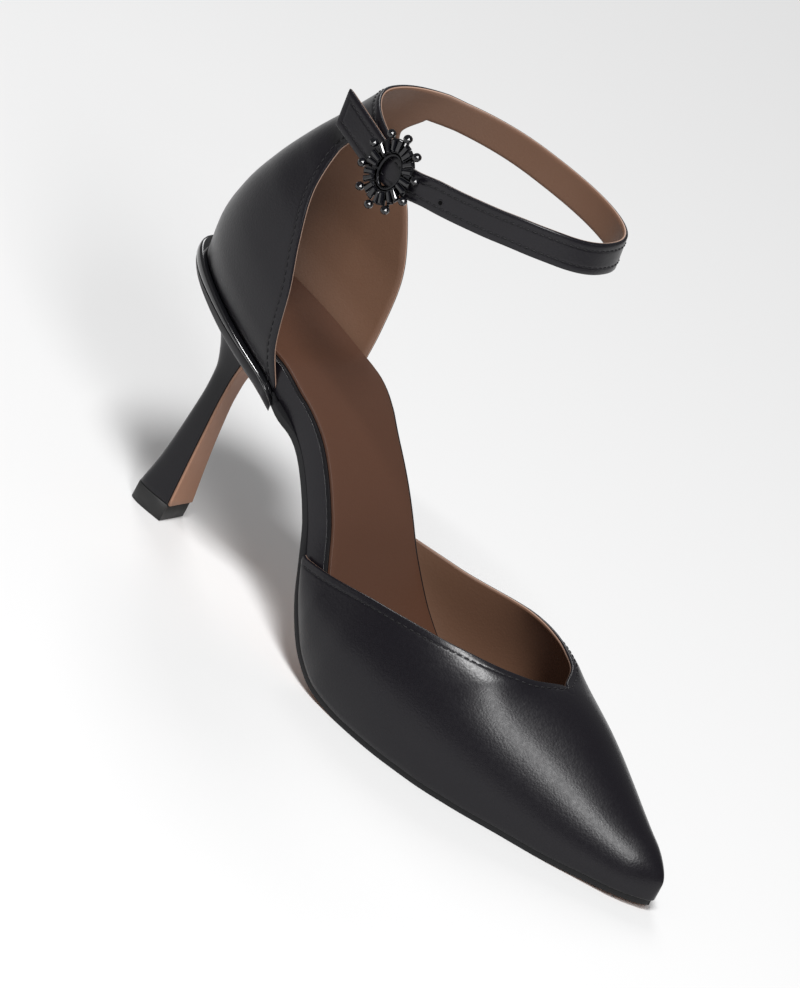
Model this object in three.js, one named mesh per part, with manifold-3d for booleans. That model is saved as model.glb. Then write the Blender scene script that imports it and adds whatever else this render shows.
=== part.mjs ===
// Ankle strap pump, right shoe, women's size 38, millimetres.
// +X runs from the heel to the toe, +Z is up and -Y is the lateral (outer) side.
// Lengths along the shoe are counted from the rim behind the heel seat.
import * as THREE from 'three';
import { mergeVertices } from 'three/addons/utils/BufferGeometryUtils.js';
import Module from 'manifold-3d';

const wasm = await Module();
wasm.setup();

// Driving sizes
const SHOE_LENGTH = 239;
const SEAT_RISE = 81;
const BALL_WIDTH = 71;
const SEAT_LENGTH = 58;
const SEAT_WIDTH = 45;
const ANKLE_LENGTH = 90;
const ANKLE_WIDTH = 56;
const COLLAR_RISE = 162;
const THROAT_REACH = 181;
const THROAT_RISE = 41.5;
const NOSE_LENGTH = 11;

// Walls, thicknesses and clearances
const UPPER_WALL = 1.6;
const OUTSOLE_THICKNESS = 2;
const BOARD_THICKNESS = 6.4;
const SOCK_THICKNESS = 1.4;
const SOCK_INSET = 1.8;
const PLATE_THICKNESS = 4.2;
const PLATE_TIP_THICKNESS = 1;
const BREAST_THICKNESS = 1;
const GAP = 0.3;

// Strap, buckle and heel
const STRAP_WIDTH = 9.5;
const TOP_PIECE_LENGTH = 14.3;
const TOP_PIECE_WIDTH = 13;
const RING_OPENING_WIDTH = 7;
const RING_OPENING_HEIGHT = 10.6;
const RING_BAND = 1.5;
const RING_DEPTH = 1.8;
const BAR_DIAMETER = 1.4;
const BAGUETTE_LENGTH = 4;
const BAGUETTE_WIDTH = 1.7;
const BEAD_DIAMETER = 2.6;

// Sides of the shoe along Y
const LATERAL = -1;
const MEDIAL = 1;

// A smooth function through two columns of a table, which never swings past its rows.
function through(rows, along, column) {
  const xs = rows.map((row) => row[along]);
  const ys = rows.map((row) => row[column]);
  const slopes = xs.slice(1).map((x, i) => (ys[i + 1] - ys[i]) / (x - xs[i]));
  const tangents = xs.map((x, i) => {
    const before = slopes[Math.max(i - 1, 0)];
    const after = slopes[Math.min(i, slopes.length - 1)];
    return before * after <= 0 ? 0 : (2 * before * after) / (before + after);
  });
  return (x) => {
    let i = 0;
    while (i < xs.length - 2 && x > xs[i + 1]) i += 1;
    const span = xs[i + 1] - xs[i];
    const t = THREE.MathUtils.clamp((x - xs[i]) / span, 0, 1);
    const t2 = t * t;
    const t3 = t2 * t;
    return (2 * t3 - 3 * t2 + 1) * ys[i] + (t3 - 2 * t2 + t) * span * tangents[i]
      + (3 * t2 - 2 * t3) * ys[i + 1] + (t3 - t2) * span * tangents[i + 1];
  };
}

// Shares from 0 to 1 in equal steps.
const steps = (count) => Array.from({ length: count + 1 }, (_, i) => i / count);
const blend = THREE.MathUtils.lerp;
const place = (x, y, z) => new THREE.Vector3(x, y, z);

// A skin gathers welded points and faces, and turns them into one closed solid.
class Skin {
  constructor() {
    this.points = [];
    this.faces = [];
    this.known = new Map();
  }

  vertex(point) {
    const key = [point.x, point.y, point.z].map((v) => Math.round(v * 1000)).join(' ');
    if (!this.known.has(key)) {
      this.known.set(key, this.points.length);
      this.points.push(point.clone());
    }
    return this.known.get(key);
  }

  triangle(a, b, c) {
    if (a !== b && b !== c && c !== a) this.faces.push([a, b, c]);
  }

  // Rows of points become two triangles between each pair of neighbours.
  sheet(rows, flipped = false) {
    const ids = rows.map((row) => row.map((point) => this.vertex(point)));
    for (let i = 0; i < ids.length - 1; i += 1) {
      for (let j = 0; j < ids[i].length - 1; j += 1) {
        const [a, b, c, d] = [ids[i][j], ids[i + 1][j], ids[i + 1][j + 1], ids[i][j + 1]];
        if (flipped) {
          this.triangle(a, c, b);
          this.triangle(a, d, c);
        } else {
          this.triangle(a, b, c);
          this.triangle(a, c, d);
        }
      }
    }
    return this;
  }

  normals() {
    const sums = this.points.map(() => new THREE.Vector3());
    for (const face of this.faces) {
      const [a, b, c] = face.map((id) => this.points[id]);
      const normal = b.clone().sub(a).cross(c.clone().sub(a));
      face.forEach((id) => sums[id].add(normal));
    }
    return sums.map((sum) => sum.normalize());
  }

  // An open skin becomes a wall: its copy is moved against the normals, and the rims are closed.
  thickened(wall) {
    const normals = this.normals();
    const solid = new Skin();
    solid.points = this.points.map((point) => point.clone());
    this.points.forEach((point, id) => {
      solid.points.push(point.clone().addScaledVector(normals[id], -wall));
    });
    const count = this.points.length;
    const edges = new Map();
    for (const [a, b, c] of this.faces) {
      solid.faces.push([a, b, c], [c + count, b + count, a + count]);
      [[a, b], [b, c], [c, a]].forEach(([from, to]) => edges.set(`${from} ${to}`, [from, to]));
    }
    for (const [from, to] of edges.values()) {
      if (!edges.has(`${to} ${from}`)) {
        solid.faces.push([from, from + count, to + count], [from, to + count, to]);
      }
    }
    return solid;
  }

  volume() {
    return this.faces.reduce((sum, face) => {
      const [a, b, c] = face.map((id) => this.points[id]);
      return sum + a.dot(b.clone().cross(c)) / 6;
    }, 0);
  }

  geometry() {
    const outward = this.volume() > 0;
    const faces = outward ? this.faces : this.faces.map(([a, b, c]) => [a, c, b]);
    const geometry = new THREE.BufferGeometry();
    const positions = this.points.flatMap((point) => [point.x, point.y, point.z]);
    geometry.setAttribute('position', new THREE.Float32BufferAttribute(positions, 3));
    geometry.setIndex(faces.flat());
    geometry.computeVertexNormals();
    return geometry;
  }
}

// A slab fills the room between two sheets that have the same rows of points.
function slab(lower, upper) {
  const skin = new Skin();
  const last = lower.length - 1;
  const end = lower[0].length - 1;
  skin.sheet(lower, true).sheet(upper);
  skin.sheet([lower[0], upper[0]]).sheet([lower[last], upper[last]], true);
  skin.sheet([lower.map((row) => row[0]), upper.map((row) => row[0])], true);
  skin.sheet([lower.map((row) => row[end]), upper.map((row) => row[end])]);
  return skin.geometry();
}

// The underside of the sole along the middle: x in shares of SHOE_LENGTH, z in shares of SEAT_RISE.
const BED = [
  { x: 0, z: 1 },
  { x: 0.125, z: 0.918 },
  { x: 0.208, z: 0.858 },
  { x: 0.238, z: 0.828 },
  { x: 0.271, z: 0.762 },
  { x: 0.304, z: 0.692 },
  { x: 0.333, z: 0.614 },
  { x: 0.375, z: 0.476 },
  { x: 0.404, z: 0.362 },
  { x: 0.45, z: 0.198 },
  { x: 0.5, z: 0.076 },
  { x: 0.542, z: 0.022 },
  { x: 0.592, z: 0 },
  { x: 0.85, z: 0 },
  { x: 0.93, z: 0.01 },
  { x: 1, z: 0.022 },
];
// How far the lateral edge lags behind the medial one, in millimetres along for each one across.
const TWIST = [
  { x: 0.08, lag: 0 },
  { x: 0.25, lag: 0.28 },
  { x: 0.42, lag: 0.28 },
  { x: 0.53, lag: 0.24 },
  { x: 0.63, lag: 0.05 },
  { x: 0.7, lag: 0 },
];
// The plan of the last's edge: distances from the heel's axis in shares of BALL_WIDTH.
const PLAN = [
  { x: 0, lateral: 0.32, medial: 0.32 },
  { x: 0.2, lateral: 0.305, medial: 0.305 },
  { x: 0.25, lateral: 0.295, medial: 0.295 },
  { x: 0.31, lateral: 0.275, medial: 0.265 },
  { x: 0.375, lateral: 0.3, medial: 0.265 },
  { x: 0.44, lateral: 0.375, medial: 0.305 },
  { x: 0.5, lateral: 0.445, medial: 0.365 },
  { x: 0.56, lateral: 0.495, medial: 0.425 },
  { x: 0.625, lateral: 0.515, medial: 0.47 },
  { x: 0.69, lateral: 0.49, medial: 0.485 },
  { x: 0.75, lateral: 0.43, medial: 0.465 },
  { x: 0.81, lateral: 0.345, medial: 0.415 },
  { x: 0.875, lateral: 0.255, medial: 0.325 },
  { x: 0.93, lateral: 0.165, medial: 0.23 },
  { x: 0.97, lateral: 0.1, medial: 0.16 },
  { x: 1, lateral: 0.05, medial: 0.11 },
];
const bedRise = through(BED, 'x', 'z');
const twistLag = through(TWIST, 'x', 'lag');
const planLateral = through(PLAN, 'x', 'lateral');
const planMedial = through(PLAN, 'x', 'medial');

// A point over the bed: x along the middle, y across, lift square to the bed.
function overBed(x, y, lift) {
  const share = x / SHOE_LENGTH;
  const nudge = 0.004;
  const rise = SEAT_RISE * bedRise(share);
  const slope = (SEAT_RISE * (bedRise(share + nudge) - bedRise(share - nudge))) / (2 * nudge * SHOE_LENGTH);
  const length = Math.hypot(1, slope);
  const back = twistLag(share) * y * LATERAL;
  return place(x - back - (slope / length) * lift, y, rise + lift / length);
}

// The station along the middle whose point over the bed lies at x, found by damped steps.
const STATION_STEPS = 12;
const STATION_DAMPING = 0.8;
function stationAt(x, y, lift) {
  let station = x;
  for (let i = 0; i < STATION_STEPS; i += 1) station += STATION_DAMPING * (x - overBed(station, y, lift).x);
  return station;
}
const bedHeight = (x, y, lift) => overBed(stationAt(x, y, lift), y, lift).z;

// The toe is rounded off over NOSE_LENGTH: 1 before the nose and 0 at the tip.
function noseShare(x) {
  const into = (x - (SHOE_LENGTH - NOSE_LENGTH)) / NOSE_LENGTH;
  return into <= 0 ? 1 : Math.sqrt(Math.max(1 - into * into, 0));
}

// The middle line and the edge of the last in plan.
function middleY(x) {
  const share = x / SHOE_LENGTH;
  return (BALL_WIDTH * (planMedial(share) - planLateral(share))) / 2;
}
function edgeY(x, side, inset = 0) {
  const share = x / SHOE_LENGTH;
  const half = (BALL_WIDTH * (planMedial(share) + planLateral(share))) / 2;
  return middleY(x) + side * Math.max(half - inset, 0) * noseShare(x + inset);
}

// Stations from one x to another, set closer towards the end or towards the start.
const quarter = Math.PI / 2;
const closing = (from, to, count) => steps(count).map((t) => from + (to - from) * Math.sin(t * quarter));
const opening = (from, to, count) => steps(count).map((t) => to - (to - from) * Math.cos(t * quarter));

// Rows of points across the sole between its two edges, square to the seat where the sole starts.
function soleRows(stations, inset, lift, count) {
  return stations.map((x) => {
    const from = edgeY(x, LATERAL, inset(x));
    const to = edgeY(x, MEDIAL, inset(x));
    const square = 1 - THREE.MathUtils.smoothstep(x, WAIST_START, WAIST_START + SQUARING_LENGTH);
    return steps(count).map((t) => {
      const y = blend(from, to, t);
      const station = blend(x, stationAt(x, y, lift(x)), square);
      return overBed(station, y, lift(station));
    });
  });
}

const WAIST_START = SEAT_LENGTH + 1.2;
const TONGUE_BACK = 51.4;
const TONGUE_HALF = 13.5;
const SQUARING_LENGTH = 16;
const VAMP_INSET = UPPER_WALL + GAP;
const FOREPART_START = 0.47 * SHOE_LENGTH;
const WIDENING_START = 0.355 * SHOE_LENGTH;
const WAIST_INSET = 0.8;
const BALL_REACH = 0.63 * SHOE_LENGTH;
const BALL_STEP = 8;
const TIP_INSET = 0.6;
const PLATE_RUNOUT = 7;

// The seat plate's top over the bed thins out to the wing tips, where the outsole takes over.
const plateLift = through([
  { x: 0, lift: PLATE_THICKNESS },
  { x: SEAT_LENGTH, lift: PLATE_TIP_THICKNESS },
  { x: WAIST_START + PLATE_RUNOUT, lift: OUTSOLE_THICKNESS },
], 'x', 'lift');

// The outsole runs back between the heel's wings as a narrow tongue.
function makeOutsole() {
  const tongue = steps(2).map((t) => blend(TONGUE_BACK, SEAT_LENGTH, t));
  const waist = [
    ...closing(WAIST_START, BALL_REACH, 16),
    ...closing(BALL_REACH + BALL_STEP, SHOE_LENGTH - TIP_INSET, 12),
  ];
  const widening = (x) => THREE.MathUtils.smoothstep(x, WIDENING_START, FOREPART_START);
  const inset = (x) => blend(VAMP_INSET, WAIST_INSET, widening(x));
  const rows = (lift) => [
    ...tongue.map((x) => steps(6).map((t) => {
      const y = blend(-TONGUE_HALF, TONGUE_HALF, t);
      return place(x, y, bedHeight(x, y, lift(x)));
    })),
    ...soleRows(waist, inset, lift, 6),
  ];
  return slab(rows(() => 0), rows(plateLift));
}

// The insole board is thick at the open waist and thin under the foot's ball and heel.
const BOARD = [
  { x: 0.02, thick: 0.5 },
  { x: 0.2, thick: 0.75 },
  { x: 0.26, thick: 1 },
  { x: 0.43, thick: 1 },
  { x: 0.6, thick: 0.5 },
  { x: 1, thick: 0.4 },
];
const boardShare = through(BOARD, 'x', 'thick');
const boardFloor = (x) => plateLift(x) + 2 * GAP;
const boardTop = (x) => boardFloor(x) + BOARD_THICKNESS * boardShare(x / SHOE_LENGTH);

// Half the room between the counter's walls at the seat, less an inset. It opens in front of them.
const SLANT_ROOM = 1.3;
const WALL_SLANT = 0.4;
function seatRoom(x, wallInset) {
  const foot = counterLevel(0);
  const inset = wallInset + WALL_SLANT;
  const half = foot.half - inset;
  if (x > WAIST_START) return half + x - WAIST_START;
  const into = Math.max((foot.wideX - x) / (foot.wideX - foot.backX - inset), 0);
  const share = Math.max(1 - Math.pow(into, COUNTER_ROUNDNESS), 0);
  return half * Math.pow(share, 1 / COUNTER_ROUNDNESS);
}

function insideRows(stations, inset, lift, count) {
  return stations.map((x) => {
    const from = Math.max(edgeY(x, LATERAL, inset), -seatRoom(x, inset));
    const to = Math.min(edgeY(x, MEDIAL, inset), seatRoom(x, inset));
    return steps(count).map((t) => overBed(x, blend(from, to, t), lift(x)));
  });
}
// The rearmost station inside the counter, less an inset, with the slant of the layers over the bed.
const seatBack = (inset) => counterLevel(0).backX + inset + SLANT_ROOM;

const SEAT_ROUND_END = 34;
const EVEN_FROM = 40;
const EVEN_TO = 200;
const TIP_FROM = 206;
const BOARD_TOE_ROOM = 1.5;
const SOCK_TOE_ROOM = 8;

// A layer inside the shoe, with stations set closer at its round back and at its tip.
function insideLayer(inset, toeRoom, floor, top) {
  const stations = [
    ...opening(seatBack(inset), SEAT_ROUND_END, 7),
    ...steps(15).map((t) => blend(EVEN_FROM, EVEN_TO, t)),
    ...closing(TIP_FROM, SHOE_LENGTH - VAMP_INSET - toeRoom, 8),
  ];
  return slab(insideRows(stations, inset, floor, 4), insideRows(stations, inset, top, 4));
}

const makeInsoleBoard = () => insideLayer(VAMP_INSET, BOARD_TOE_ROOM, boardFloor, boardTop);

function makeSock() {
  const floor = (x) => boardTop(x) + GAP;
  return insideLayer(VAMP_INSET + SOCK_INSET, SOCK_TOE_ROOM, floor, (x) => floor(x) + SOCK_THICKNESS);
}

// The vamp's top edge and ridge: y in shares of BALL_WIDTH from the heel's axis, z in shares of THROAT_RISE.
const TOPLINE = [
  { x: 0.375, lateralY: 0.3, lateralZ: 0.7, medialY: 0.272, medialZ: 0.925 },
  { x: 0.46, lateralY: 0.38, lateralZ: 0.783, medialY: 0.34, medialZ: 0.93 },
  { x: 0.5625, lateralY: 0.43, lateralZ: 0.92, medialY: 0.39, medialZ: 0.985 },
  { x: 0.62, lateralY: 0.4, lateralZ: 0.975, medialY: 0.365, medialZ: 1.025 },
  { x: 0.675, lateralY: 0.32, lateralZ: 1.005, medialY: 0.3, medialZ: 1.045 },
  { x: 0.715, lateralY: 0.215, lateralZ: 1.01, medialY: 0.215, medialZ: 1.035 },
  { x: 0.742, lateralY: 0.09, lateralZ: 1, medialY: 0.12, medialZ: 1.01 },
  { x: 0.757, lateralY: -0.03, lateralZ: 1, medialY: 0.03, medialZ: 1 },
];
// The vamp's ridge before the throat: z in shares of THROAT_RISE.
const RIDGE = [
  { x: 0.757, z: 1 },
  { x: 0.79, z: 0.94 },
  { x: 0.82, z: 0.87 },
  { x: 0.85, z: 0.78 },
  { x: 0.886, z: 0.67 },
  { x: 0.92, z: 0.565 },
  { x: 0.954, z: 0.47 },
  { x: 1, z: 0.37 },
];
// The vamp's cross section: belly is the wall's swell past the last's edge in shares of BALL_WIDTH,
// shoulder and drop place the bend under the top in shares of the section's width and height.
const FORM = [
  { x: 0.375, belly: 0.015, shoulder: 0.5, drop: 0.4 },
  { x: 0.5, belly: 0.05, shoulder: 0.62, drop: 0.38 },
  { x: 0.58, belly: 0.06, shoulder: 0.62, drop: 0.28 },
  { x: 0.675, belly: 0.055, shoulder: 0.6, drop: 0.13 },
  { x: 0.715, belly: 0.052, shoulder: 0.645, drop: 0.06 },
  { x: 0.735, belly: 0.05, shoulder: 0.71, drop: 0.03 },
  { x: 0.757, belly: 0.048, shoulder: 0.72, drop: 0 },
  { x: 0.78, belly: 0.045, shoulder: 0.66, drop: 0 },
  { x: 0.81, belly: 0.04, shoulder: 0.61, drop: 0 },
  { x: 0.88, belly: 0.03, shoulder: 0.585, drop: 0 },
  { x: 1, belly: 0.015, shoulder: 0.6, drop: 0 },
];
const BELLY_SHARE = 0.42;
const VAMP_LIFT = OUTSOLE_THICKNESS + GAP;
const LATERAL_WING = 95;
const MEDIAL_WING = 91.5;
const WING_START_HEIGHT = 3.4;
const THROAT_CORNER = 9;
const FULL_SWELL_HEIGHT = 20;
const ridgeRise = through(RIDGE, 'x', 'z');
const belly = through(FORM, 'x', 'belly');
const shoulder = through(FORM, 'x', 'shoulder');
const drop = through(FORM, 'x', 'drop');
const topEdge = {
  [LATERAL]: { y: through(TOPLINE, 'x', 'lateralY'), z: through(TOPLINE, 'x', 'lateralZ') },
  [MEDIAL]: { y: through(TOPLINE, 'x', 'medialY'), z: through(TOPLINE, 'x', 'medialZ') },
};

// The top point of the vamp's section on one side: its top edge, or the ridge in front of the throat.
function vampTop(x, side, foot) {
  const share = x / SHOE_LENGTH;
  if (x >= THROAT_REACH) {
    const rise = THROAT_RISE * ridgeRise(share) - foot.z;
    return place(x, middleY(x), foot.z + rise * (0.5 + 0.5 * noseShare(x)));
  }
  const height = Math.max(THROAT_RISE * topEdge[side].z(share), foot.z + WING_START_HEIGHT);
  const across = side * BALL_WIDTH * topEdge[side].y(share);
  const settle = THREE.MathUtils.smoothstep(x, THROAT_REACH - THROAT_CORNER, THROAT_REACH);
  const y = blend(across, middleY(THROAT_REACH), settle * settle);
  return place(foot.x, y, height);
}

// One half of the vamp's section, from the last's edge up to the top.
function vampSection(x, side, count) {
  const share = x / SHOE_LENGTH;
  const foot = overBed(x, edgeY(x, side), VAMP_LIFT);
  const top = vampTop(x, side, foot);
  const height = top.z - foot.z;
  const swell = BALL_WIDTH * belly(share) * noseShare(x) * Math.min(height / FULL_SWELL_HEIGHT, 1);
  const low = place(foot.x, foot.y + side * swell, foot.z + BELLY_SHARE * height);
  const bendY = blend(top.y, foot.y + side * swell * 0.5, shoulder(share));
  const bend = place(top.x, bendY, top.z - drop(share) * height);
  const curve = new THREE.CubicBezierCurve3(foot, low, bend, top);
  return steps(count).map((t) => curve.getPoint(t));
}

const VAMP_COLUMNS = 8;
function makeVamp() {
  const skin = new Skin();
  const front = closing(THROAT_REACH, SHOE_LENGTH, 15);
  for (const [side, start] of [[LATERAL, LATERAL_WING], [MEDIAL, MEDIAL_WING]]) {
    const back = closing(start, THROAT_REACH, 16);
    const rows = [...back.slice(0, -1), ...front].map((x) => vampSection(x, side, VAMP_COLUMNS));
    skin.sheet(rows, side === MEDIAL);
  }
  return skin.thickened(UPPER_WALL).geometry();
}

// The counter from its foot on the seat plate up to the strap, a row for each level: x in shares of
// SEAT_LENGTH, rise in shares of the way from the foot to COLLAR_RISE, half widths in shares of SEAT_WIDTH.
const COUNTER_CUP = [
  { level: 0, backX: 0.072, rise: 0, wideX: 0.79, half: 0.47 },
  { level: 0.15, backX: 0.062, rise: 0.171, wideX: 0.75, half: 0.57 },
  { level: 0.32, backX: 0.1, rise: 0.34, wideX: 0.8, half: 0.625 },
  { level: 0.52, backX: 0.184, rise: 0.509, wideX: 0.89, half: 0.627 },
  { level: 0.72, backX: 0.298, rise: 0.678, wideX: 1.05, half: 0.618 },
  { level: 0.87, backX: 0.395, rise: 0.8, wideX: 1.2, half: 0.618 },
  { level: 1, backX: 0.46, rise: 0.881, wideX: 1.31, half: 0.622 },
];
// Where each level ends in front, in the same shares.
const COUNTER_EDGE = [
  { level: 0, lateralX: 0.953, lateralRise: 0, medialX: 1.0, medialRise: 0 },
  { level: 0.15, lateralX: 0.866, lateralRise: 0.146, medialX: 0.962, medialRise: 0.163 },
  { level: 0.32, lateralX: 0.82, lateralRise: 0.313, medialX: 0.895, medialRise: 0.348 },
  { level: 0.52, lateralX: 0.715, lateralRise: 0.493, medialX: 0.745, medialRise: 0.533 },
  { level: 0.72, lateralX: 0.612, lateralRise: 0.678, medialX: 0.582, medialRise: 0.695 },
  { level: 0.87, lateralX: 0.6, lateralRise: 0.786, medialX: 0.548, medialRise: 0.797 },
  { level: 1, lateralX: 0.664, lateralRise: 0.875, medialX: 0.64, medialRise: 0.894 },
];
const COUNTER_ROUNDNESS = 2.3;
const cup = Object.fromEntries(['backX', 'rise', 'wideX', 'half']
  .map((name) => [name, through(COUNTER_CUP, 'level', name)]));
const rim = Object.fromEntries(['lateralX', 'lateralRise', 'medialX', 'medialRise']
  .map((name) => [name, through(COUNTER_EDGE, 'level', name)]));

// The plan of one level of the counter.
function counterPlan(level) {
  return {
    backX: SEAT_LENGTH * cup.backX(level),
    wideX: SEAT_LENGTH * cup.wideX(level),
    half: SEAT_WIDTH * cup.half(level),
  };
}

// Where the counter's foot stands on the seat plate: at its back and at its two front corners.
const plateTop = (x, y) => bedHeight(x, y, plateLift(x) + GAP);
function cornerFoot(side, x) {
  const plan = counterPlan(0);
  return plateTop(x, onLevel(plan, turnAt(plan, x), side).y);
}
const FOOT = {
  back: plateTop(counterPlan(0).backX, 0),
  lateral: cornerFoot(LATERAL, SEAT_LENGTH * rim.lateralX(0)),
  medial: cornerFoot(MEDIAL, SEAT_LENGTH * rim.medialX(0)),
};

// The size and place of one level of the counter.
function counterLevel(level) {
  const lateralZ = blend(FOOT.lateral, COLLAR_RISE, rim.lateralRise(level));
  const medialZ = blend(FOOT.medial, COLLAR_RISE, rim.medialRise(level));
  return {
    ...counterPlan(level),
    backZ: blend(FOOT.back, COLLAR_RISE, cup.rise(level)),
    lateral: { x: SEAT_LENGTH * rim.lateralX(level), z: lateralZ },
    medial: { x: SEAT_LENGTH * rim.medialX(level), z: medialZ },
  };
}

// Half the counter's width at x on a level, and the turn from the back at which x lies.
function turnAt(level, x) {
  const into = THREE.MathUtils.clamp((level.wideX - x) / (level.wideX - level.backX), -1, 1);
  return Math.acos(Math.sign(into) * Math.pow(Math.abs(into), COUNTER_ROUNDNESS / 2));
}
function onLevel(level, turn, side) {
  const cosine = Math.cos(turn);
  const x = level.wideX
    - (level.wideX - level.backX) * Math.sign(cosine) * Math.pow(Math.abs(cosine), 2 / COUNTER_ROUNDNESS);
  return { x, y: side * level.half * Math.pow(Math.max(Math.sin(turn), 0), 2 / COUNTER_ROUNDNESS) };
}

// A row of points round one level, from its lateral end round the back to its medial end.
function levelRow(level, count, heightAt) {
  const row = [];
  for (const t of steps(count)) {
    const side = t < 0.5 ? LATERAL : MEDIAL;
    const front = side === LATERAL ? level.lateral : level.medial;
    const point = onLevel(level, turnAt(level, front.x) * Math.abs(2 * t - 1), side);
    const share = (point.x - level.backX) / (front.x - level.backX);
    row.push(place(point.x, point.y, heightAt ? heightAt(point) : blend(level.backZ, front.z, share)));
  }
  return row;
}

// The strap's loop round the ankle: its lower and upper edges lean with the leg.
const ANKLE_FRONT = COUNTER_CUP[6].backX * SEAT_LENGTH + ANKLE_LENGTH;
const LEG_LEAN = 5.2;
const FRONT_LEAN = 1.6;
const FRONT_EASE = 7;
const STRAP_START = 45.6;
const TAB_END = 58;
function loopLevel(edge) {
  const backX = COUNTER_CUP[6].backX * SEAT_LENGTH + LEG_LEAN * edge;
  const frontX = ANKLE_FRONT + FRONT_EASE - FRONT_LEAN * edge;
  return { backX, wideX: (backX + frontX) / 2, half: ANKLE_WIDTH / 2 };
}

// The counter's top edge and its lateral tab: x in shares of SEAT_LENGTH, z in shares of COLLAR_RISE.
const TAB = { lateralX: 0.7, lateralZ: 0.985, medialX: 0.7, medialZ: 1.006, tipLow: 0.9, tipHigh: 0.96 };
const TOP_LEVEL = { ...loopLevel(1), backZ: COLLAR_RISE,
  lateral: { x: SEAT_LENGTH * TAB.lateralX, z: COLLAR_RISE * TAB.lateralZ },
  medial: { x: SEAT_LENGTH * TAB.medialX, z: COLLAR_RISE * TAB.medialZ } };

const COUNTER_COLUMNS = 26;
const COUNTER_ROWS = 13;
function makeCounter() {
  const columns = COUNTER_COLUMNS;
  const onPlate = (point) => plateTop(point.x, point.y);
  const rows = steps(COUNTER_ROWS).map((t) => levelRow(counterLevel(t), columns, t === 0 ? onPlate : null));
  const skin = new Skin().sheet(rows);
  const low = rows[rows.length - 1];
  const high = levelRow(TOP_LEVEL, columns);
  const reach = (edge, from, side, end, endZ, count) => steps(count).slice(1).map((t) => {
    const x = blend(from.x, end, t);
    const loop = loopLevel(edge);
    const half = onLevel(loop, turnAt(loop, x), side).y;
    const start = onLevel(loop, turnAt(loop, from.x), side).y;
    return place(x, half + (from.y - start) * (1 - t), blend(from.z, endZ, t));
  });
  const tabLow = reach(0, low[0], LATERAL, TAB_END, COLLAR_RISE * TAB.tipLow, 5);
  const tabHigh = reach(1, high[0], LATERAL, TAB_END, COLLAR_RISE * TAB.tipHigh, 5);
  const rootLow = reach(0, low[columns], MEDIAL, STRAP_START - GAP, strapEdge(0, STRAP_TABLE[0]), 1);
  const rootHigh = reach(1, high[columns], MEDIAL, STRAP_START - GAP, strapEdge(1, STRAP_TABLE[0]), 1);
  const bottom = [...tabLow.reverse(), ...low, ...rootLow];
  const top = [...tabHigh.reverse(), ...high, ...rootHigh];
  const middle = bottom.map((point, i) => point.clone().lerp(top[i], 0.5));
  skin.sheet([bottom, middle, top]);
  return skin.thickened(UPPER_WALL).geometry();
}

// The strap from the medial quarter round the ankle to the lateral buckle: turn is in degrees round
// the loop from the back, z the middle in shares of COLLAR_RISE, out the step off the loop in walls.
const STRAP_TABLE = [
  { turn: 52, z: 0.977, out: 0 },
  { turn: 90, z: 0.988, out: 0 },
  { turn: 180, z: 0.992, out: 0 },
  { turn: 215, z: 0.989, out: 0 },
  { turn: 235, z: 0.981, out: 0 },
  { turn: 252, z: 0.967, out: 0.1 },
  { turn: 268, z: 0.952, out: 0.8 },
  { turn: 284, z: 0.933, out: 1.22 },
  { turn: 306, z: 0.937, out: 1.25 },
];
const strapZ = through(STRAP_TABLE, 'turn', 'z');
const strapOut = through(STRAP_TABLE, 'turn', 'out');
const strapEdge = (edge, row) => COLLAR_RISE * row.z + STRAP_WIDTH * (edge - 0.5);
const TAIL_LENGTH = 20;
const TAIL_CUT = 7;
const TAIL_RISE = 3;
const TAIL_FLARE_SHARE = 0.1;
const NUDGE_DEGREES = 0.5;

// A point on the strap's outer face: turn in degrees, edge 0 below and 1 above.
function onStrap(turn, edge) {
  const side = turn <= 180 ? MEDIAL : LATERAL;
  const loop = loopLevel(edge);
  const seam = THREE.MathUtils.radToDeg(turnAt(loop, STRAP_START));
  const at = (degrees) => {
    const squared = degrees < 90 ? blend(90, seam, (90 - degrees) / (90 - STRAP_TABLE[0].turn)) : degrees;
    const angle = THREE.MathUtils.degToRad(squared <= 180 ? squared : 360 - squared);
    const { x, y } = onLevel(loop, angle, side);
    return place(x, y, 0);
  };
  const along = at(turn + NUDGE_DEGREES).sub(at(turn - NUDGE_DEGREES)).normalize();
  const point = at(turn);
  const out = strapOut(turn) * UPPER_WALL;
  return place(point.x - along.y * out, point.y + along.x * out, strapEdge(edge, { z: strapZ(turn) }));
}

const STRAP_STEPS = 38;
function makeStrap() {
  const first = STRAP_TABLE[0].turn;
  const last = STRAP_TABLE[STRAP_TABLE.length - 1].turn;
  const turns = steps(STRAP_STEPS).map((t) => blend(first, last, t));
  const [low, high] = [0, 1].map((edge) => turns.map((turn) => onStrap(turn, edge)));
  const tail = (row, length) => {
    const end = row[row.length - 1];
    const along = end.clone().sub(row[row.length - 2]).setZ(0).normalize();
    along.add(place(-along.y * TAIL_FLARE_SHARE, along.x * TAIL_FLARE_SHARE, TAIL_RISE / TAIL_LENGTH));
    return steps(4).slice(1).map((t) => end.clone().addScaledVector(along, length * t));
  };
  low.push(...tail(low, TAIL_LENGTH - TAIL_CUT));
  high.push(...tail(high, TAIL_LENGTH));
  return new Skin().sheet([low, high]).thickened(UPPER_WALL).geometry();
}

// The heel's stem above the top piece: z in shares of SEAT_RISE, front in shares of SEAT_LENGTH,
// depth and width in shares of the top piece's.
const HEEL_STEM = [
  { z: 0.078, front: 0.603, depth: 0.96, width: 0.97, round: 4.5 },
  { z: 0.22, front: 0.584, depth: 0.748, width: 0.8, round: 4 },
  { z: 0.4, front: 0.564, depth: 0.59, width: 0.63, round: 3.2 },
  { z: 0.54, front: 0.554, depth: 0.505, width: 0.56, round: 3 },
];
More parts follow.
